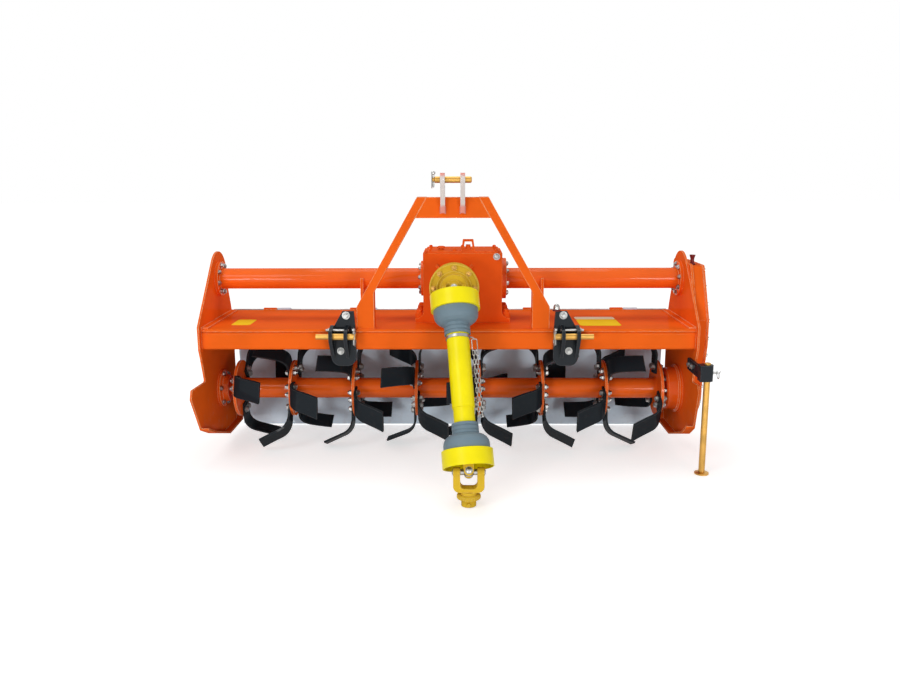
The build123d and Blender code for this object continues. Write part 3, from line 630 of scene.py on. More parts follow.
class Spots:
    """Places, directions and sizes of like fasteners."""

    def __init__(self):
        self.places = []
        self.turns = []
        self.sizes = []

    def add(self, place, axis, size, spin=0.0):
        """One fastener that stands on a place along an axis."""
        turn = Vector(axis).to_track_quat("Z", "Y") @ Quaternion(Z_AXIS, spin)
        self.put(place, turn.to_euler(), size)

    def put(self, place, turn, size):
        """One shape with its turn given as Euler angles."""
        self.places.append(Vector(place))
        self.turns.append(turn)
        self.sizes.append(size)

    def ring(self, centre, axis, reach, count, size, start=0.0):
        """Fasteners on a circle round an axis."""
        axis = Vector(axis)
        side = Z_AXIS if abs(axis.z) < 0.5 else X_AXIS
        for index in range(count):
            spin = start + math.tau * index / count
            spoke = Quaternion(axis, spin) @ side
            self.add(Vector(centre) + reach * spoke, axis, size, spin)

    def mesh(self):
        """Points with their turn and size."""
        mesh = bpy.data.meshes.new("spots")
        mesh.from_pydata(self.places, [], [])
        turn = mesh.attributes.new("turn", "FLOAT_VECTOR", "POINT")
        turn.data.foreach_set("vector", [part for row in self.turns for part in row])
        mesh.attributes.new("size", "FLOAT", "POINT").data.foreach_set("value", self.sizes)
        return mesh


def line_mesh(lines, closed=False):
    """Edges along one or more lines of points."""
    places = []
    edges = []
    for line in lines:
        first = len(places)
        places.extend(line)
        edges.extend((first + k, first + k + 1) for k in range(len(line) - 1))
        if closed:
            edges.append((len(places) - 1, first))
    mesh = bpy.data.meshes.new("lines")
    mesh.from_pydata(places, edges, [])
    return mesh


class Shape:
    """Mesh gathered from turned, drawn and cut forms."""

    def __init__(self):
        self.bm = bmesh.new()

    def turned(self, profile, centre, axis, steps=28):
        """Form turned about an axis from radii and heights, closed where the radius is zero."""
        turn = Vector(axis).to_track_quat("Z", "Y")
        rows = []
        for radius, height in profile:
            if radius == 0:
                tip = Vector(centre) + turn @ Vector((0, 0, height))
                rows.append([self.bm.verts.new(tip)])
                continue
            row = []
            for step in range(steps):
                spin = math.tau * step / steps
                spoke = Vector((radius * math.cos(spin), radius * math.sin(spin), height))
                row.append(self.bm.verts.new(Vector(centre) + turn @ spoke))
            rows.append(row)
        for lower, upper in zip(rows, rows[1:]):
            for step in range(steps):
                after = (step + 1) % steps
                corners = [lower[step % len(lower)], lower[after % len(lower)]]
                corners += [upper[after % len(upper)], upper[step % len(upper)]]
                self.bm.faces.new(list(dict.fromkeys(corners)))

    def slab(self, points, lift):
        """Polygon thickened by a vector."""
        lower = [self.bm.verts.new(point) for point in points]
        upper = [self.bm.verts.new(Vector(point) + Vector(lift)) for point in points]
        self.bm.faces.new(lower)
        self.bm.faces.new(upper)
        for index in range(len(points)):
            after = (index + 1) % len(points)
            self.bm.faces.new((lower[index], lower[after], upper[after], upper[index]))

    def wire(self, points, radius, closed=False, order=3):
        """Round wire along a smooth line."""
        data = bpy.data.curves.new("wire", "CURVE")
        data.dimensions = "3D"
        data.bevel_depth = radius
        data.bevel_resolution = 2
        data.use_fill_caps = True
        data.resolution_u = 5
        spline = data.splines.new("NURBS")
        spline.points.add(len(points) - 1)
        for control, point in zip(spline.points, points):
            control.co = (*point, 1)
        spline.use_cyclic_u = closed
        spline.use_endpoint_u = not closed
        spline.order_u = order
        holder = bpy.data.objects.new("wire", data)
        mesh = bpy.data.meshes.new_from_object(holder)
        self.bm.from_mesh(mesh)
        bpy.data.objects.remove(holder)
        bpy.data.meshes.remove(mesh)

    def mesh(self, finish):
        """Finished mesh with its normals outwards."""
        bmesh.ops.remove_doubles(self.bm, verts=self.bm.verts, dist=0.00001)
        bmesh.ops.recalc_face_normals(self.bm, faces=self.bm.faces)
        mesh = bpy.data.meshes.new("shape")
        self.bm.to_mesh(mesh)
        self.bm.free()
        mesh.materials.append(finishes()[finish])
        return smoothed(mesh)


DECK_TOP = low("gearbox_housing").z
LEFT_INNER = low("left_tube").x
RIGHT_INNER = high("right_tube").x
TUBE_AXIS = middle("left_tube")
TUBE_FLANGE = 0.014
WIDE_FLANGE = 0.022
BEARING_FLANGE = 0.0145
BEARING_CIRCLE = 0.070
CASE_CIRCLE = 0.066
CAP_FLANGE = 0.022
CAP_CIRCLE = 0.041
STAND_BOLTS = (0.030, 0.068)
GEARBOX_HIGH = high("gearbox_housing")
GEARBOX_FRONT = GEARBOX_HIGH.y - 0.245
GEARBOX_LEFT = low("gearbox_housing").x + 0.034
GEARBOX_RIGHT = GEARBOX_HIGH.x - 0.034
LID_INSET = 0.026
LID_MIDDLE = 0.122
FOOT_REACH = 0.018
FOOT_INSET = 0.028
FOOT_MIDDLE = 0.123
HINGE = Vector(JOINTS["tailboard_hinge"]["pos_m"])


def along(x, place):
    """Point at an X place, level with another point."""
    return Vector((x, place.y, place.z))


def flange_spots(spots, size):
    """Bolts of the tube flanges at the side plates and at the gearbox."""
    reach = sizes().tube_bolt_circle
    outer = low("left_side_plate").x
    rows = (
        (LEFT_INNER + TUBE_FLANGE, 1, reach),
        (high("left_tube").x - TUBE_FLANGE, -1, reach),
        (low("right_tube").x + WIDE_FLANGE, 1, reach + 0.008),
        (RIGHT_INNER - TUBE_FLANGE, -1, reach),
        (outer, -1, reach),
    )
    for x, way, circle in rows:
        spots.ring(along(x, TUBE_AXIS), way * X_AXIS, circle, 8, size, 0.2)
    spots.ring(along(outer, ROTOR_AXIS), -X_AXIS, BEARING_CIRCLE, 6, size, 0.3)


def bearing_spots(spots, size):
    """Bolts of the rotor bearings, the stand bracket and the gearbox front."""
    left_face = low("bearing_housing_left").x + BEARING_FLANGE
    right_face = low("bearing_housing_right").x
    spots.ring(along(left_face, ROTOR_AXIS), X_AXIS, BEARING_CIRCLE, 6, size, 0.3)
    spots.ring(along(right_face, ROTOR_AXIS), -X_AXIS, CASE_CIRCLE, 8, size, 0.1)
    corner = (GEARBOX_RIGHT - 0.024, GEARBOX_FRONT, GEARBOX_HIGH.z - 0.022)
    spots.add(corner, -Y_AXIS, 1.2 * size)
    for back in STAND_BOLTS:
        place = along(low("stand_bracket").x, middle("stand_bracket"))
        place.y = high("stand_bracket").y - back
        spots.add(place, -X_AXIS, size)


def gearbox_spots(spots, size):
    """Bolts of the gearbox lid, feet and bearing cap."""
    near = GEARBOX_FRONT + LID_INSET
    far = GEARBOX_HIGH.y - LID_INSET
    lid = [(GEARBOX_LEFT + LID_INSET, y) for y in (near, GEARBOX_FRONT + LID_MIDDLE, far)]
    lid += [(GEARBOX_RIGHT - LID_INSET, y) for _, y in lid]
    lid += [(GEARBOX_LEFT + 0.131, near), (GEARBOX_LEFT + 0.165, far)]
    for x, y in lid:
        spots.add((x, y, GEARBOX_HIGH.z), Z_AXIS, 0.8 * size)
    for x, y in foot_places():
        spots.add((x, y, DECK_TOP + sizes().foot_boss), Z_AXIS, 1.25 * size)
    face = middle("input_bearing_cap")
    face.y = high("input_bearing_cap").y - CAP_FLANGE
    spots.ring(face, -Y_AXIS, CAP_CIRCLE, 6, 0.7 * size)


def foot_places():
    """Places of the gearbox foot bolts in plan."""
    near = GEARBOX_FRONT + FOOT_INSET
    far = GEARBOX_HIGH.y - FOOT_INSET
    sides = (GEARBOX_LEFT - FOOT_REACH, GEARBOX_RIGHT + FOOT_REACH)
    return [(x, y) for x in sides for y in (near, GEARBOX_FRONT + FOOT_MIDDLE, far)]


class TILLER_OT_frame_bolts(bpy.types.Operator):
    """Bolts of the frame: tube flanges, bearings, gearbox and gear case"""

    bl_idname = "tiller.frame_bolts"
    bl_label = "Frame Bolts"

    def execute(self, context):
        tree = hex_tree()
        size = sizes().bolt
        bright = Spots()
        flange_spots(bright, size)
        bearing_spots(bright, size)
        fit("frame_bolts", "frame", "bright_steel", bright.mesh(), tree, "steel")
        painted = Spots()
        gearbox_spots(painted, size)
        fit("gearbox_bolts", "frame", "orange_casting", painted.mesh(), tree, "bead")
        rim = line_mesh([case_line()], True)
        fit("gear_case_bolts", "frame", "bright_steel", rim, rim_tree(), "steel")
        return {"FINISHED"}


def arc_line(centre, reach, start, end, steps=24):
    """Points of an arc in an upright plane across X; angles from the rear, upwards."""
    line = []
    for step in range(steps + 1):
        turn = math.radians(start + (end - start) * step / steps)
        spoke = math.cos(turn) * Y_AXIS + math.sin(turn) * Z_AXIS
        line.append(centre + reach * spoke)
    return line


CASE_INSET = 0.018
CASE_FRONT_INSET = 0.020
CASE_COVER = 0.022
CASE_SLOPE = 0.105
CASE_ARC = 0.112


def case_line():
    """Line of the gear case rim bolts on its cover."""
    top = high("gear_case").z - CASE_INSET
    back = high("gear_case").y - CASE_INSET
    front = low("gear_case").y + CASE_FRONT_INSET
    face = high("gear_case").x - CASE_COVER
    line = [(face, front, DECK_TOP + 0.02), (face, front + CASE_SLOPE, top)]
    line += [(face, back, top), (face, back, TUBE_AXIS.z - 0.05)]
    line += arc_line(along(face, ROTOR_AXIS), CASE_ARC, 0, -180, 8)
    return [*line, (face, front, DECK_TOP - 0.085)]


CLUTCH_CIRCLE = 0.082
CLUTCH_NUT = 0.0075
# Plate rings of the clutch: inner radius, outer radius, rise
CLUTCH_RINGS = ((0.0935, 0.0985, 0.0022), (0.0660, 0.0705, 0.0030))
RING_ROOT = -0.001
RING_CUT = 0.0008


class TILLER_OT_clutch_bolts(bpy.types.Operator):
    """Spring bolts and plate rings of the slip clutch"""

    bl_idname = "tiller.clutch_bolts"
    bl_label = "Clutch Bolts"

    def execute(self, context):
        face = middle("clutch_disc")
        face.y = low("clutch_disc").y
        spots = Spots()
        spots.ring(face, -Y_AXIS, CLUTCH_CIRCLE, 8, CLUTCH_NUT)
        nuts = spots.mesh()
        fit("clutch_nuts", "frame", "zinc_gold", nuts, hex_tree(), "zinc", Stud_Length=0.5)
        rings = Shape()
        cut = RING_CUT
        for inner, outer, rise in CLUTCH_RINGS:
            profile = [(inner, RING_ROOT), (outer, RING_ROOT), (outer, rise - cut)]
            profile += [(outer - cut, rise), (inner + cut, rise), (inner, rise - cut)]
            rings.turned((*profile, profile[0]), face, -Y_AXIS, 56)
        piece("clutch_plate_rings", rings.mesh("amber"), "frame", "amber_paint")
        return {"FINISHED"}


ROTOR_TUBE = 0.044
HALF_FLANGE = 0.006
BLADE_THICKNESS = 0.0082
BLADE_BOLT_CIRCLE = 0.095
BLADE_BOLT_SHIFT = 0.017


def blade_places():
    """Flange place, angle and side of every blade on the rotor."""
    rotor = sizes()
    middle_flanges = [rotor.flange_pitch * (k - 2.5) for k in range(6)]
    end = 2.5 * rotor.flange_pitch + rotor.flange_end
    flanges = [-end, *middle_flanges, end]
    places = []
    for index, offset in enumerate(flanges):
        x = ROTOR_AXIS.x + offset
        phase = rotor.first_phase + rotor.flange_phase * index
        for third in range(3):
            turn = phase + math.radians(120) * third
            if index < len(flanges) - 1:
                places.append((x, turn, 1))
            if index > 0:
                places.append((x, turn + math.radians(60), -1))
    return places


class TILLER_OT_rotor_bolts(bpy.types.Operator):
    """Two bolts and nuts for each blade"""

    bl_idname = "tiller.rotor_bolts"
    bl_label = "Blade Bolts"

    def execute(self, context):
        heads = Spots()
        nuts = Spots()
        size = sizes().blade_bolt
        for x, turn, side in blade_places():
            out = side * X_AXIS
            spoke = Vector((0, -math.sin(turn), math.cos(turn)))
            round_way = Vector((0, math.cos(turn), math.sin(turn)))
            for shift in (-BLADE_BOLT_SHIFT, BLADE_BOLT_SHIFT):
                centre = ROTOR_AXIS + BLADE_BOLT_CIRCLE * spoke + shift * round_way
                place = along(x, centre)
                heads.add(place + (HALF_FLANGE + BLADE_THICKNESS) * out, out, size, turn)
                nuts.add(place - HALF_FLANGE * out, -out, size, turn)
        tree = hex_tree()
        fit("blade_bolts", "rotor", "bright_steel", heads.mesh(), tree, "steel")
        nuts = nuts.mesh()
        fit("blade_nuts", "rotor", "bright_steel", nuts, tree, "steel", Stud_Length=0.55)
        return {"FINISHED"}


ROD_RADIUS = 0.005
ROD_START = 0.024
BRACKET_PLATE = 0.014
CLIP_WIRE = 0.0017


class TILLER_OT_hitch_fittings(bpy.types.Operator):
    """Clamp bolts, cross bolts and linchpins of the lower hitch"""

    bl_idname = "tiller.hitch_fittings"
    bl_label = "Hitch Fittings"

    def execute(self, context):
        bolts = Spots()
        clips = Shape()
        for name, side in (("left", -1), ("right", 1)):
            self.bracket(bolts, clips, name, side)
        bolts = bolts.mesh()
        fit("hitch_bolts", "frame", "bright_steel", bolts, hex_tree(), "steel", Stud_Length=0.9)
        self.dome_nut()
        piece("hitch_linchpins", clips.mesh("steel"), "frame", "bright_steel")
        return {"FINISHED"}

    def bracket(self, bolts, clips, name, side):
        """Clamp bolts, cross bolt and linchpin of one bracket."""
        out = side * X_AXIS
        box_low = low("hitch_bracket_" + name)
        box_high = high("hitch_bracket_" + name)
        inner, outer = box_low.x, box_high.x
        if side < 0:
            inner, outer = outer, inner
        front = box_high.y - BRACKET_PLATE
        pin = along(inner, middle("hitch_pin_" + name))
        upper = Vector((inner, front, box_high.z - 0.016))
        lower = Vector((inner, front, box_low.z + 0.062))
        bolts.add(upper + 0.037 * out, -Y_AXIS, 0.0125)
        bolts.add(lower + 0.062 * out, -Y_AXIS, 0.0115)
        rod = Vector((inner, front - 0.026, pin.z + 0.024))
        reach = abs(outer - inner) - ROD_START
        clips.turned(rod_profile(reach), rod + ROD_START * out, out)
        bolts.add(along(outer, rod), out, 0.0085)
        linchpin(clips, pin + 0.004 * out, side)

    def dome_nut(self):
        """Dome nut with its washer on top of the right bracket."""
        place = high("hitch_bracket_right") - 0.007 * Y_AXIS
        place.x = low("hitch_bracket_right").x + 0.010
        ring = [(0, 0), (0.015, 0), (0.016, 0.001), (0.016, 0.004), (0.015, 0.005), (0, 0.005)]
        washer = Shape()
        washer.turned(ring, place, Z_AXIS)
        piece("clamp_washer", washer.mesh("plug"), "frame", "dark_red_plug")
        dome = [(0, 0), (0.009, 0), (0.013, 0.002), (0.013, 0.012)]
        dome += [(0.011, 0.018), (0.006, 0.023), (0, 0.025)]
        nut = Shape()
        nut.turned(dome, place + 0.005 * Z_AXIS, Z_AXIS)
        piece("clamp_dome_nut", nut.mesh("steel"), "frame", "bright_steel")


def rod_profile(reach):
    """Plain round rod with broken edges."""
    edge = 0.001
    thin = ROD_RADIUS - edge
    ends = [(thin, 0), (ROD_RADIUS, edge), (ROD_RADIUS, reach - edge), (thin, reach)]
    return [(0, 0), *ends, (0, reach)]


def linchpin(shape, place, side, drop=0.036, rise=0.022):
    """Linchpin across the end of a pin, with the spring ring that snaps over its tip."""
    tall = drop + rise
    pin = [(0, 0), (0.003, 0.002), (0.0036, 0.006), (0.0036, tall), (0.0075, tall + 0.002)]
    pin += [(0.0085, tall + 0.006), (0.007, tall + 0.011), (0, tall + 0.013)]
    shape.turned(pin, place - drop * Z_AXIS, Z_AXIS, 14)
    steps = 12
    reach = 0.5 * tall
    centre = place + 0.5 * (rise - drop) * Z_AXIS - side * 0.006 * X_AXIS
    ring = []
    for step in range(steps):
        turn = math.tau * step / steps
        across = 0.8 * reach * math.sin(turn) * Y_AXIS
        ring.append(centre + across + 1.1 * reach * math.cos(turn) * Z_AXIS)
    shape.wire(ring, CLIP_WIRE, True)
    top = place + (rise + 0.005) * Z_AXIS
    shape.wire((top, top - side * 0.009 * X_AXIS), CLIP_WIRE, False, 2)


class TILLER_OT_pin_clips(bpy.types.Operator):
    """Linchpin of the top link pin and lock pin of the stand"""

    bl_idname = "tiller.pin_clips"
    bl_label = "Pin Clips"

    def execute(self, context):
        clips = Shape()
        end = along(low("top_link_pin").x + 0.004, middle("top_link_pin"))
        linchpin(clips, end, 1, 0.030, 0.020)
        piece("top_linchpin", clips.mesh("steel"), "frame", "bright_steel")
        lock = Shape()
        place = along(high("stand_bracket").x - 0.003, middle("stand_bracket"))
        place.y = middle("stand_leg").y
        lock.turned(rod_profile(0.024), place, X_AXIS, 16)
        hook = [(0.018, 0, 0.010), (0.018, 0, -0.004), (0.020, 0, -0.016)]
        hook += [(0.022, -0.010, -0.024), (0.022, -0.020, -0.014)]
        hook += [(0.020, -0.018, 0.002), (0.022, -0.030, 0.012)]
        lock.wire([place + Vector(point) for point in hook], 0.0018)
        piece("stand_lock_pin", lock.mesh("steel"), "frame", "bright_steel")
        return {"FINISHED"}


CHAIN_LINKS = 14
CHAIN_PLAY = 0.0003
HOOK_WIRE = 0.0019
LUG_WIRE = 0.003


def beside_shaft(out, down):
    """Point beside the driveline, by its distances from the shaft and the upper joint."""
    return UPPER_JOINT + out * SHAFT_SIDE + down * SHAFT_DIR


class TILLER_OT_chain(bpy.types.Operator):
    """Safety chain of round wire, hung on its band"""

    bl_idname = "tiller.chain"
    bl_label = "Safety Chain"

    def execute(self, context):
        chain = sizes()
        spots = Spots()
        pitch = chain.chain_inner - CHAIN_PLAY
        hole = chain.guard_start + 0.021
        start = hole + chain.chain_hook + 0.5 * chain.chain_inner - 0.0015
        for strand in (chain.strand_near, chain.strand_far):
            for index in range(CHAIN_LINKS):
                flat = SHAFT_SWING if index % 2 else SHAFT_SIDE
                self.link(spots, flat, SHAFT_DIR, beside_shaft(strand, start + pitch * index))
        between = 0.5 * (chain.strand_near + chain.strand_far)
        end = start + pitch * (CHAIN_LINKS - 0.5) - 0.001
        self.link(spots, SHAFT_DIR, SHAFT_SIDE, beside_shaft(between, end))
        wire = {"Wire": chain.chain_wire, "Width": chain.chain_width}
        wire["Inner_Length"] = chain.chain_inner
        shape = Shape()
        shape.bm.from_mesh(fitted(spots.mesh(), link_tree(), "steel", **wire))
        self.band(shape, hole - 0.015)
        self.hook(shape, hole, between)
        mesh = shape.mesh("steel")
        piece("safety_chain_links", mesh, "driveline_upper", "bright_steel", "safety_chain")
        return {"FINISHED"}

    def link(self, spots, across, lengthwise, place):
        """One link, given the directions of its width and its length."""
        rows = Matrix((across, lengthwise, across.cross(lengthwise)))
        spots.put(place, rows.transposed().to_euler(), 1.0)

    def band(self, shape, start):
        """Band round the guard tube."""
        inner = 0.0433
        outer = 0.047
        width = 0.012
        edge = 0.001
        profile = [(inner, 0), (outer - edge, 0), (outer, edge)]
        profile += [(outer, width - edge), (outer - edge, width), (inner, width)]
        shape.turned((*profile, profile[0]), beside_shaft(0, start), SHAFT_DIR, 48)

    def hook(self, shape, hole, between):
        """Lug on the band and the long wire ring that holds both strands."""
        chain = sizes()
        reach = 0.5 * chain.chain_hook
        half = 0.5 * (chain.strand_far - chain.strand_near) + 0.004
        near = [(between - half, down) for down in (-0.7, 0.7, 1)]
        far = [(between + half, down) for down in (1, 0.7, -0.7, -1)]
        ring = [*near, *far, (between - half, -1)]
        places = [beside_shaft(out, hole + reach + down * reach) for out, down in ring]
        shape.wire(places, HOOK_WIRE, True)
        root = beside_shaft(0.0455, hole - 0.009)
        tip = beside_shaft(between + 0.002, hole + 0.002)
        shape.wire((root, root + 0.009 * SHAFT_SIDE, tip), LUG_WIRE)


EAR = 0.0451
WIDE_EAR = 0.0571
CUP_RADIUS = 0.0135


class TILLER_OT_joint_cups(bpy.types.Operator):
    """Bearing cups in the ears of the universal joints"""

    bl_idname = "tiller.joint_cups"
    bl_label = "Joint Cups"

    def execute(self, context):
        tree = round_tree()
        rows = (
            ("implement_cups", "frame", UPPER_JOINT, X_AXIS, EAR),
            ("upper_cups", "driveline_upper", UPPER_JOINT, SHAFT_SWING, EAR),
            ("lower_cups", "driveline_lower", LOWER_JOINT, SHAFT_SWING, EAR),
            ("tractor_cups", "tractor_yoke", LOWER_JOINT, X_AXIS, WIDE_EAR),
        )
        for name, body, joint, axis, reach in rows:
            spots = Spots()
            for side in (-1, 1):
                spots.add(joint + side * reach * axis, side * axis, CUP_RADIUS)
            fit(name, body, "bright_steel", spots.mesh(), tree, "steel", Depth=0.12)
        return {"FINISHED"}


COLLAR_RIBS = 24
COLLAR_RADIUS = 0.041
COLLAR_DROP = 0.087
BUTTON_DROP = 0.114


class TILLER_OT_yoke_collar(bpy.types.Operator):
    """Grip ribs and push pin of the tractor yoke's collar"""

    bl_idname = "tiller.yoke_collar"
    bl_label = "Yoke Collar"

    def execute(self, context):
        shape = Shape()
        collar = LOWER_JOINT - COLLAR_DROP * Z_AXIS
        for step in range(COLLAR_RIBS):
            spoke = Quaternion(Z_AXIS, math.tau * step / COLLAR_RIBS) @ X_AXIS
            side = Z_AXIS.cross(spoke)
            root = collar + COLLAR_RADIUS * spoke
            crest = root + 0.003 * spoke
            rib = [root - 0.0022 * side, root + 0.0022 * side]
            rib += [crest + 0.0012 * side, crest - 0.0012 * side]
            shape.slab(rib, -0.010 * Z_AXIS)
        button = ((0, -0.004), (0.007, -0.004), (0.007, 0.006), (0.0055, 0.009), (0, 0.010))
        hub = LOWER_JOINT - BUTTON_DROP * Z_AXIS - 0.0275 * Y_AXIS
        shape.turned(button, hub, -Y_AXIS, 20)
        piece("yoke_collar_grip", shape.mesh("amber"), "tractor_yoke", "amber_paint")
        return {"FINISHED"}


BARREL_COUNT = 5
BARREL_PITCH = 0.4
BOARD_LEAN = 0.0765
RIVET_RADIUS = 0.0065


class TILLER_OT_tailboard_rivets(bpy.types.Operator):
    """Rivets that hold the hinge barrels on the tailboard"""

    bl_idname = "tiller.tailboard_rivets"
    bl_label = "Tailboard Rivets"

    def execute(self, context):
        spots = Spots()
        out = Vector((0, 1, BOARD_LEAN)).normalized()
        centre = 0.5 * (LEFT_INNER + RIGHT_INNER) + 0.035
        for step in range(BARREL_COUNT):
            barrel = centre + BARREL_PITCH * (step - (BARREL_COUNT - 1) / 2)
            for x in (barrel - 0.018, barrel + 0.018):
                for drop in (0.028, 0.052):
                    back = 0.0110 + BOARD_LEAN * (drop - 0.004)
                    spots.add((x, HINGE.y + back, HINGE.z - drop), out, RIVET_RADIUS)
        rivets = spots.mesh()
        fit("tailboard_rivets", "tailboard", "tailboard_grey", rivets, round_tree(), "sheet")
        return {"FINISHED"}


class TILLER_OT_welds(bpy.types.Operator):
    """Weld beads of the gussets, mast, lugs and rotor flanges"""

    bl_idname = "tiller.welds"
    bl_label = "Weld Beads"

    def execute(self, context):
        bead = sizes().bead
        rows = (
            ("frame_welds", "frame", "orange_paint", self.frame_lines(), "bead", bead),
            ("lug_welds", "frame", "pale_steel", self.lug_lines(), "lug", bead),
            ("rotor_welds", "rotor", "orange_paint", self.rotor_lines(), "bead", 1.2 * bead),
        )
        for name, body, slot, lines, finish, radius in rows:
            fit(name, body, slot, line_mesh(lines), weld_tree(), finish, Bead=radius)
        return {"FINISHED"}

    def frame_lines(self):
        """Lines under the main tubes on the gussets, and round the feet on the deck."""
        tube_radius = 0.0445
        inset = 0.004
        foot_width = 0.070
        lines = []
        for name in ("gusset_left", "gusset_right"):
            front, back = low(name).y + inset, high(name).y - inset
            for x in (low(name).x, high(name).x):
                lines.append(arc_line(along(x, TUBE_AXIS), tube_radius, 180, 360))
                lines.append([(x, front, DECK_TOP), (x, back, DECK_TOP)])
        for name in ("mast_leg_left", "mast_leg_right"):
            front, back = low(name).y, high(name).y
            left = low(name).x
            if name.endswith("right"):
                left = high(name).x - foot_width
            right = left + foot_width
            foot = [(left, front), (right, front), (right, back), (left, back), (left, front)]
            lines.append([(x, y, DECK_TOP) for x, y in foot])
        return lines

    def lug_lines(self):
        """Lines up both sides of the top link lugs' feet."""
        face = low("mast_top_bar").y
        foot = low("top_link_lugs").z
        lines = []
        for offset in (0.030, 0.048, -0.030, -0.048):
            x = middle("top_link_lugs").x + offset
            lines.append([(x, face, foot), (x, face, foot + 0.024)])
        return lines

    def rotor_lines(self):
        """Rings round the rotor tube on both sides of every flange."""
        lines = []
        for flange in sorted({place[0] for place in blade_places()}):
            for x in (flange - HALF_FLANGE, flange + HALF_FLANGE):
                lines.append(arc_line(along(x, ROTOR_AXIS), ROTOR_TUBE, 0, 360, 32))
        return lines


class TILLER_OT_gearbox_feet(bpy.types.Operator):
    """Bosses under the gearbox foot bolts"""

    bl_idname = "tiller.gearbox_feet"
    bl_label = "Gearbox Feet"

    def execute(self, context):
        shape = Shape()
        top = sizes().foot_boss
        boss = ((0, 0.004), (0.0185, 0.004), (0.0165, top - 0.003), (0.0145, top), (0, top))
        for x, y in foot_places():
            shape.turned(boss, (x, y, DECK_TOP), Z_AXIS, 24)
        piece("gearbox_foot_bosses", shape.mesh("casting"), "frame", "orange_casting")
        return {"FINISHED"}


# Labels: name, finish, left, right, front and rear edge
LABELS = (
    ("deck_label_left", "label", -0.9455, -0.8660, 0.075, 0.203),
    ("deck_label_right", "label", 0.5050, 0.6750, 0.057, 0.205),
    ("deck_label_strip", "label_pale", 0.5050, 0.6750, 0.207, 0.265),
)
LABEL_FILM = 0.0009
LABEL_SUNK = 0.0002
LABEL_CUT = 0.008


class TILLER_OT_labels(bpy.types.Operator):
    """Blank labels on the deck"""

    bl_idname = "tiller.labels"
    bl_label = "Deck Labels"

    def execute(self, context):
        base = DECK_TOP - LABEL_SUNK
        cut = LABEL_CUT
        for name, finish, x0, x1, y0, y1 in LABELS:
            outline = [(x0 + cut, y0), (x1 - cut, y0), (x1, y0 + cut), (x1, y1 - cut)]
            outline += [(x1 - cut, y1), (x0 + cut, y1), (x0, y1 - cut), (x0, y0 + cut)]
            shape = Shape()
            shape.slab([(x, y, base) for x, y in outline], LABEL_FILM * Z_AXIS)
            piece(name, shape.mesh(finish), "frame", "guard_yellow")
        return {"FINISHED"}


class TILLER_OT_stage(bpy.types.Operator):
    """Floor, light and camera"""

    bl_idname = "tiller.stage"
    bl_label = "Set the Stage"

    def execute(self, context):
        scene = context.scene
        scene.view_settings.view_transform = "Standard"
        pale_floor()
        studio_light(scene)
        photo_camera(scene)
        return {"FINISHED"}


FLOOR_SIZE = 60
FLOOR_DROP = 0.001


def pale_floor():
    """Wide plain floor that keeps the shadow, with a glow that grows away from the tiller."""
    bpy.ops.mesh.primitive_plane_add(size=FLOOR_SIZE, location=(0, 0, -FLOOR_DROP))
    floor = bpy.context.object
    floor.name = "floor"
    look = Look("pale floor")
    away = look.node("ShaderNodeVectorMath", {"operation": "LENGTH"}, {0: look.place}, "Value")
    spread = {"Value": away, "From Min": 1.2, "From Max": 6.0, "To Min": 0.58, "To Max": 0.74}
    level = look.node("ShaderNodeMapRange", {}, spread) * look.seen()
    glow = look.node("ShaderNodeCombineXYZ", {}, {"X": level, "Y": level, "Z": level})
    look.put(Base_Color=(0.8, 0.8, 0.8), Roughness=1.0, Specular_IOR_Level=0.0)
    look.put(Emission_Color=glow, Emission_Strength=1.0)
    floor.data.materials.append(look.material)


# Lamps: name, place, target, size, power
LAMPS = (
    ("key lamp", (-2.4, -3.4, 3.6), (0, 0, 0.5), 1.8, 45),
    ("top lamp", (0, 1.2, 4.2), (0, 0, 0.5), 2.6, 55),
    ("front lamp", (-3.2, -7.4, 0.45), (0, 0.3, 0.35), 1.8, 185),
    ("front lamp", (3.2, -7.4, 0.45), (0, 0.3, 0.35), 1.8, 185),
)


def lamp(name, place, target, size, power):
    """Square area lamp aimed at a point."""
    data = bpy.data.lights.new(name, "AREA")
    data.size = size
    data.energy = power
    obj = bpy.data.objects.new(name, data)
    bpy.context.collection.objects.link(obj)
    obj.location = place
    obj.rotation_euler = (Vector(target) - Vector(place)).to_track_quat("-Z", "Y").to_euler()


def studio_light(scene):
    """Soft lamps and a pale world."""
    for row in LAMPS:
        lamp(*row)
    world = bpy.data.worlds.new("studio")
    scene.world = world
    world.use_nodes = True
    board = Board(world.node_tree)
    back = world.node_tree.nodes["Background"]
    back.inputs["Color"].default_value = (1, 1, 1, 1)
    fill = scene.tiller_stage.fill
    board.feed(back.inputs["Strength"], fill + (1 - fill) * board.seen())


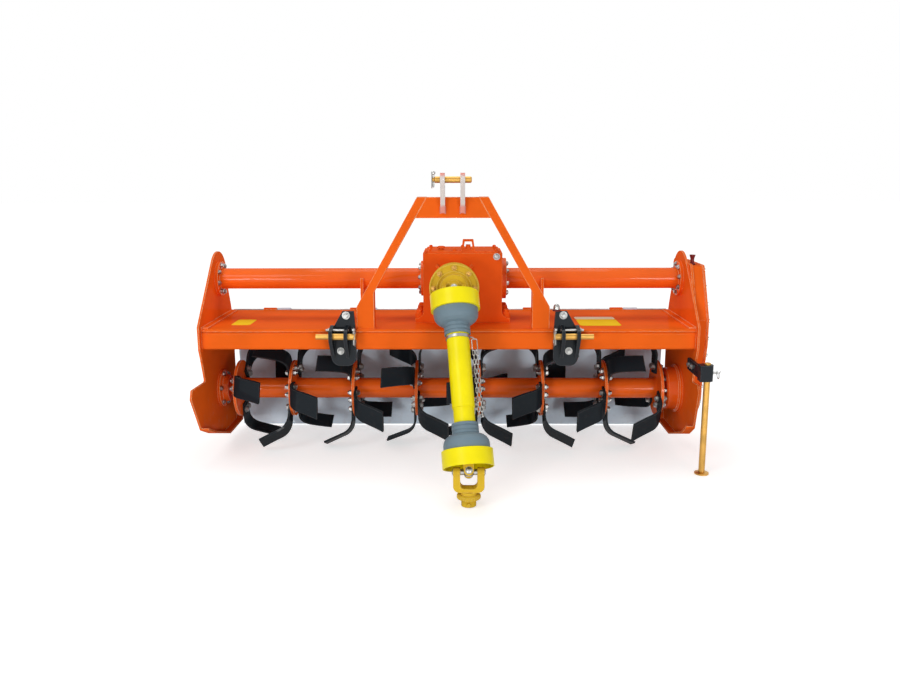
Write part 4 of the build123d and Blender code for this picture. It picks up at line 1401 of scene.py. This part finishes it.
def photo_camera(scene):
    """Camera at the photograph's viewing angle."""
    stage = scene.tiller_stage
    data = bpy.data.cameras.new("camera")
    data.lens = stage.lens
    data.sensor_width = 36
    camera = bpy.data.objects.new("camera", data)
    scene.collection.objects.link(camera)
    yaw = Matrix.Rotation(stage.yaw, 4, "Z")
    pitch = Matrix.Rotation(math.pi / 2 - stage.pitch, 4, "X")
    turn = yaw @ pitch @ Matrix.Rotation(stage.roll, 4, "Z")
    place = Matrix.Translation((stage.camera_x, -stage.camera_back, stage.camera_z))
    camera.matrix_world = place @ turn
    scene.camera = camera


class TILLER_PT_panel(bpy.types.Panel):
    """Steps of the fit-out"""

    bl_label = "Rotary Tiller"
    bl_idname = "TILLER_PT_panel"
    bl_space_type = "VIEW_3D"
    bl_region_type = "UI"
    bl_category = "Tiller"

    def draw(self, context):
        for step in STEPS:
            self.layout.operator(step.bl_idname)


STEPS = [
    TILLER_OT_paint,
    TILLER_OT_frame_bolts,
    TILLER_OT_clutch_bolts,
    TILLER_OT_rotor_bolts,
    TILLER_OT_hitch_fittings,
    TILLER_OT_pin_clips,
    TILLER_OT_chain,
    TILLER_OT_joint_cups,
    TILLER_OT_yoke_collar,
    TILLER_OT_tailboard_rivets,
    TILLER_OT_welds,
    TILLER_OT_gearbox_feet,
    TILLER_OT_labels,
    TILLER_OT_stage,
]
CLASSES = [TillerPaint, TillerSizes, TillerStage, *STEPS, TILLER_PT_panel]


def register():
    for item in CLASSES:
        bpy.utils.register_class(item)
    bpy.types.Scene.tiller_paint = PointerProperty(type=TillerPaint)
    bpy.types.Scene.tiller_sizes = PointerProperty(type=TillerSizes)
    bpy.types.Scene.tiller_stage = PointerProperty(type=TillerStage)


def unregister():
    del bpy.types.Scene.tiller_stage
    del bpy.types.Scene.tiller_sizes
    del bpy.types.Scene.tiller_paint
    for item in reversed(CLASSES):
        bpy.utils.unregister_class(item)


def corners(box):
    """Box as plain lists."""
    return [list(map(float, corner)) for corner in box]


def main():
    register()
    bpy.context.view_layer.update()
    for step in STEPS:
        group, name = step.bl_idname.split(".")
        getattr(getattr(bpy.ops, group), name)()


if __name__ == "__main__":
    main()
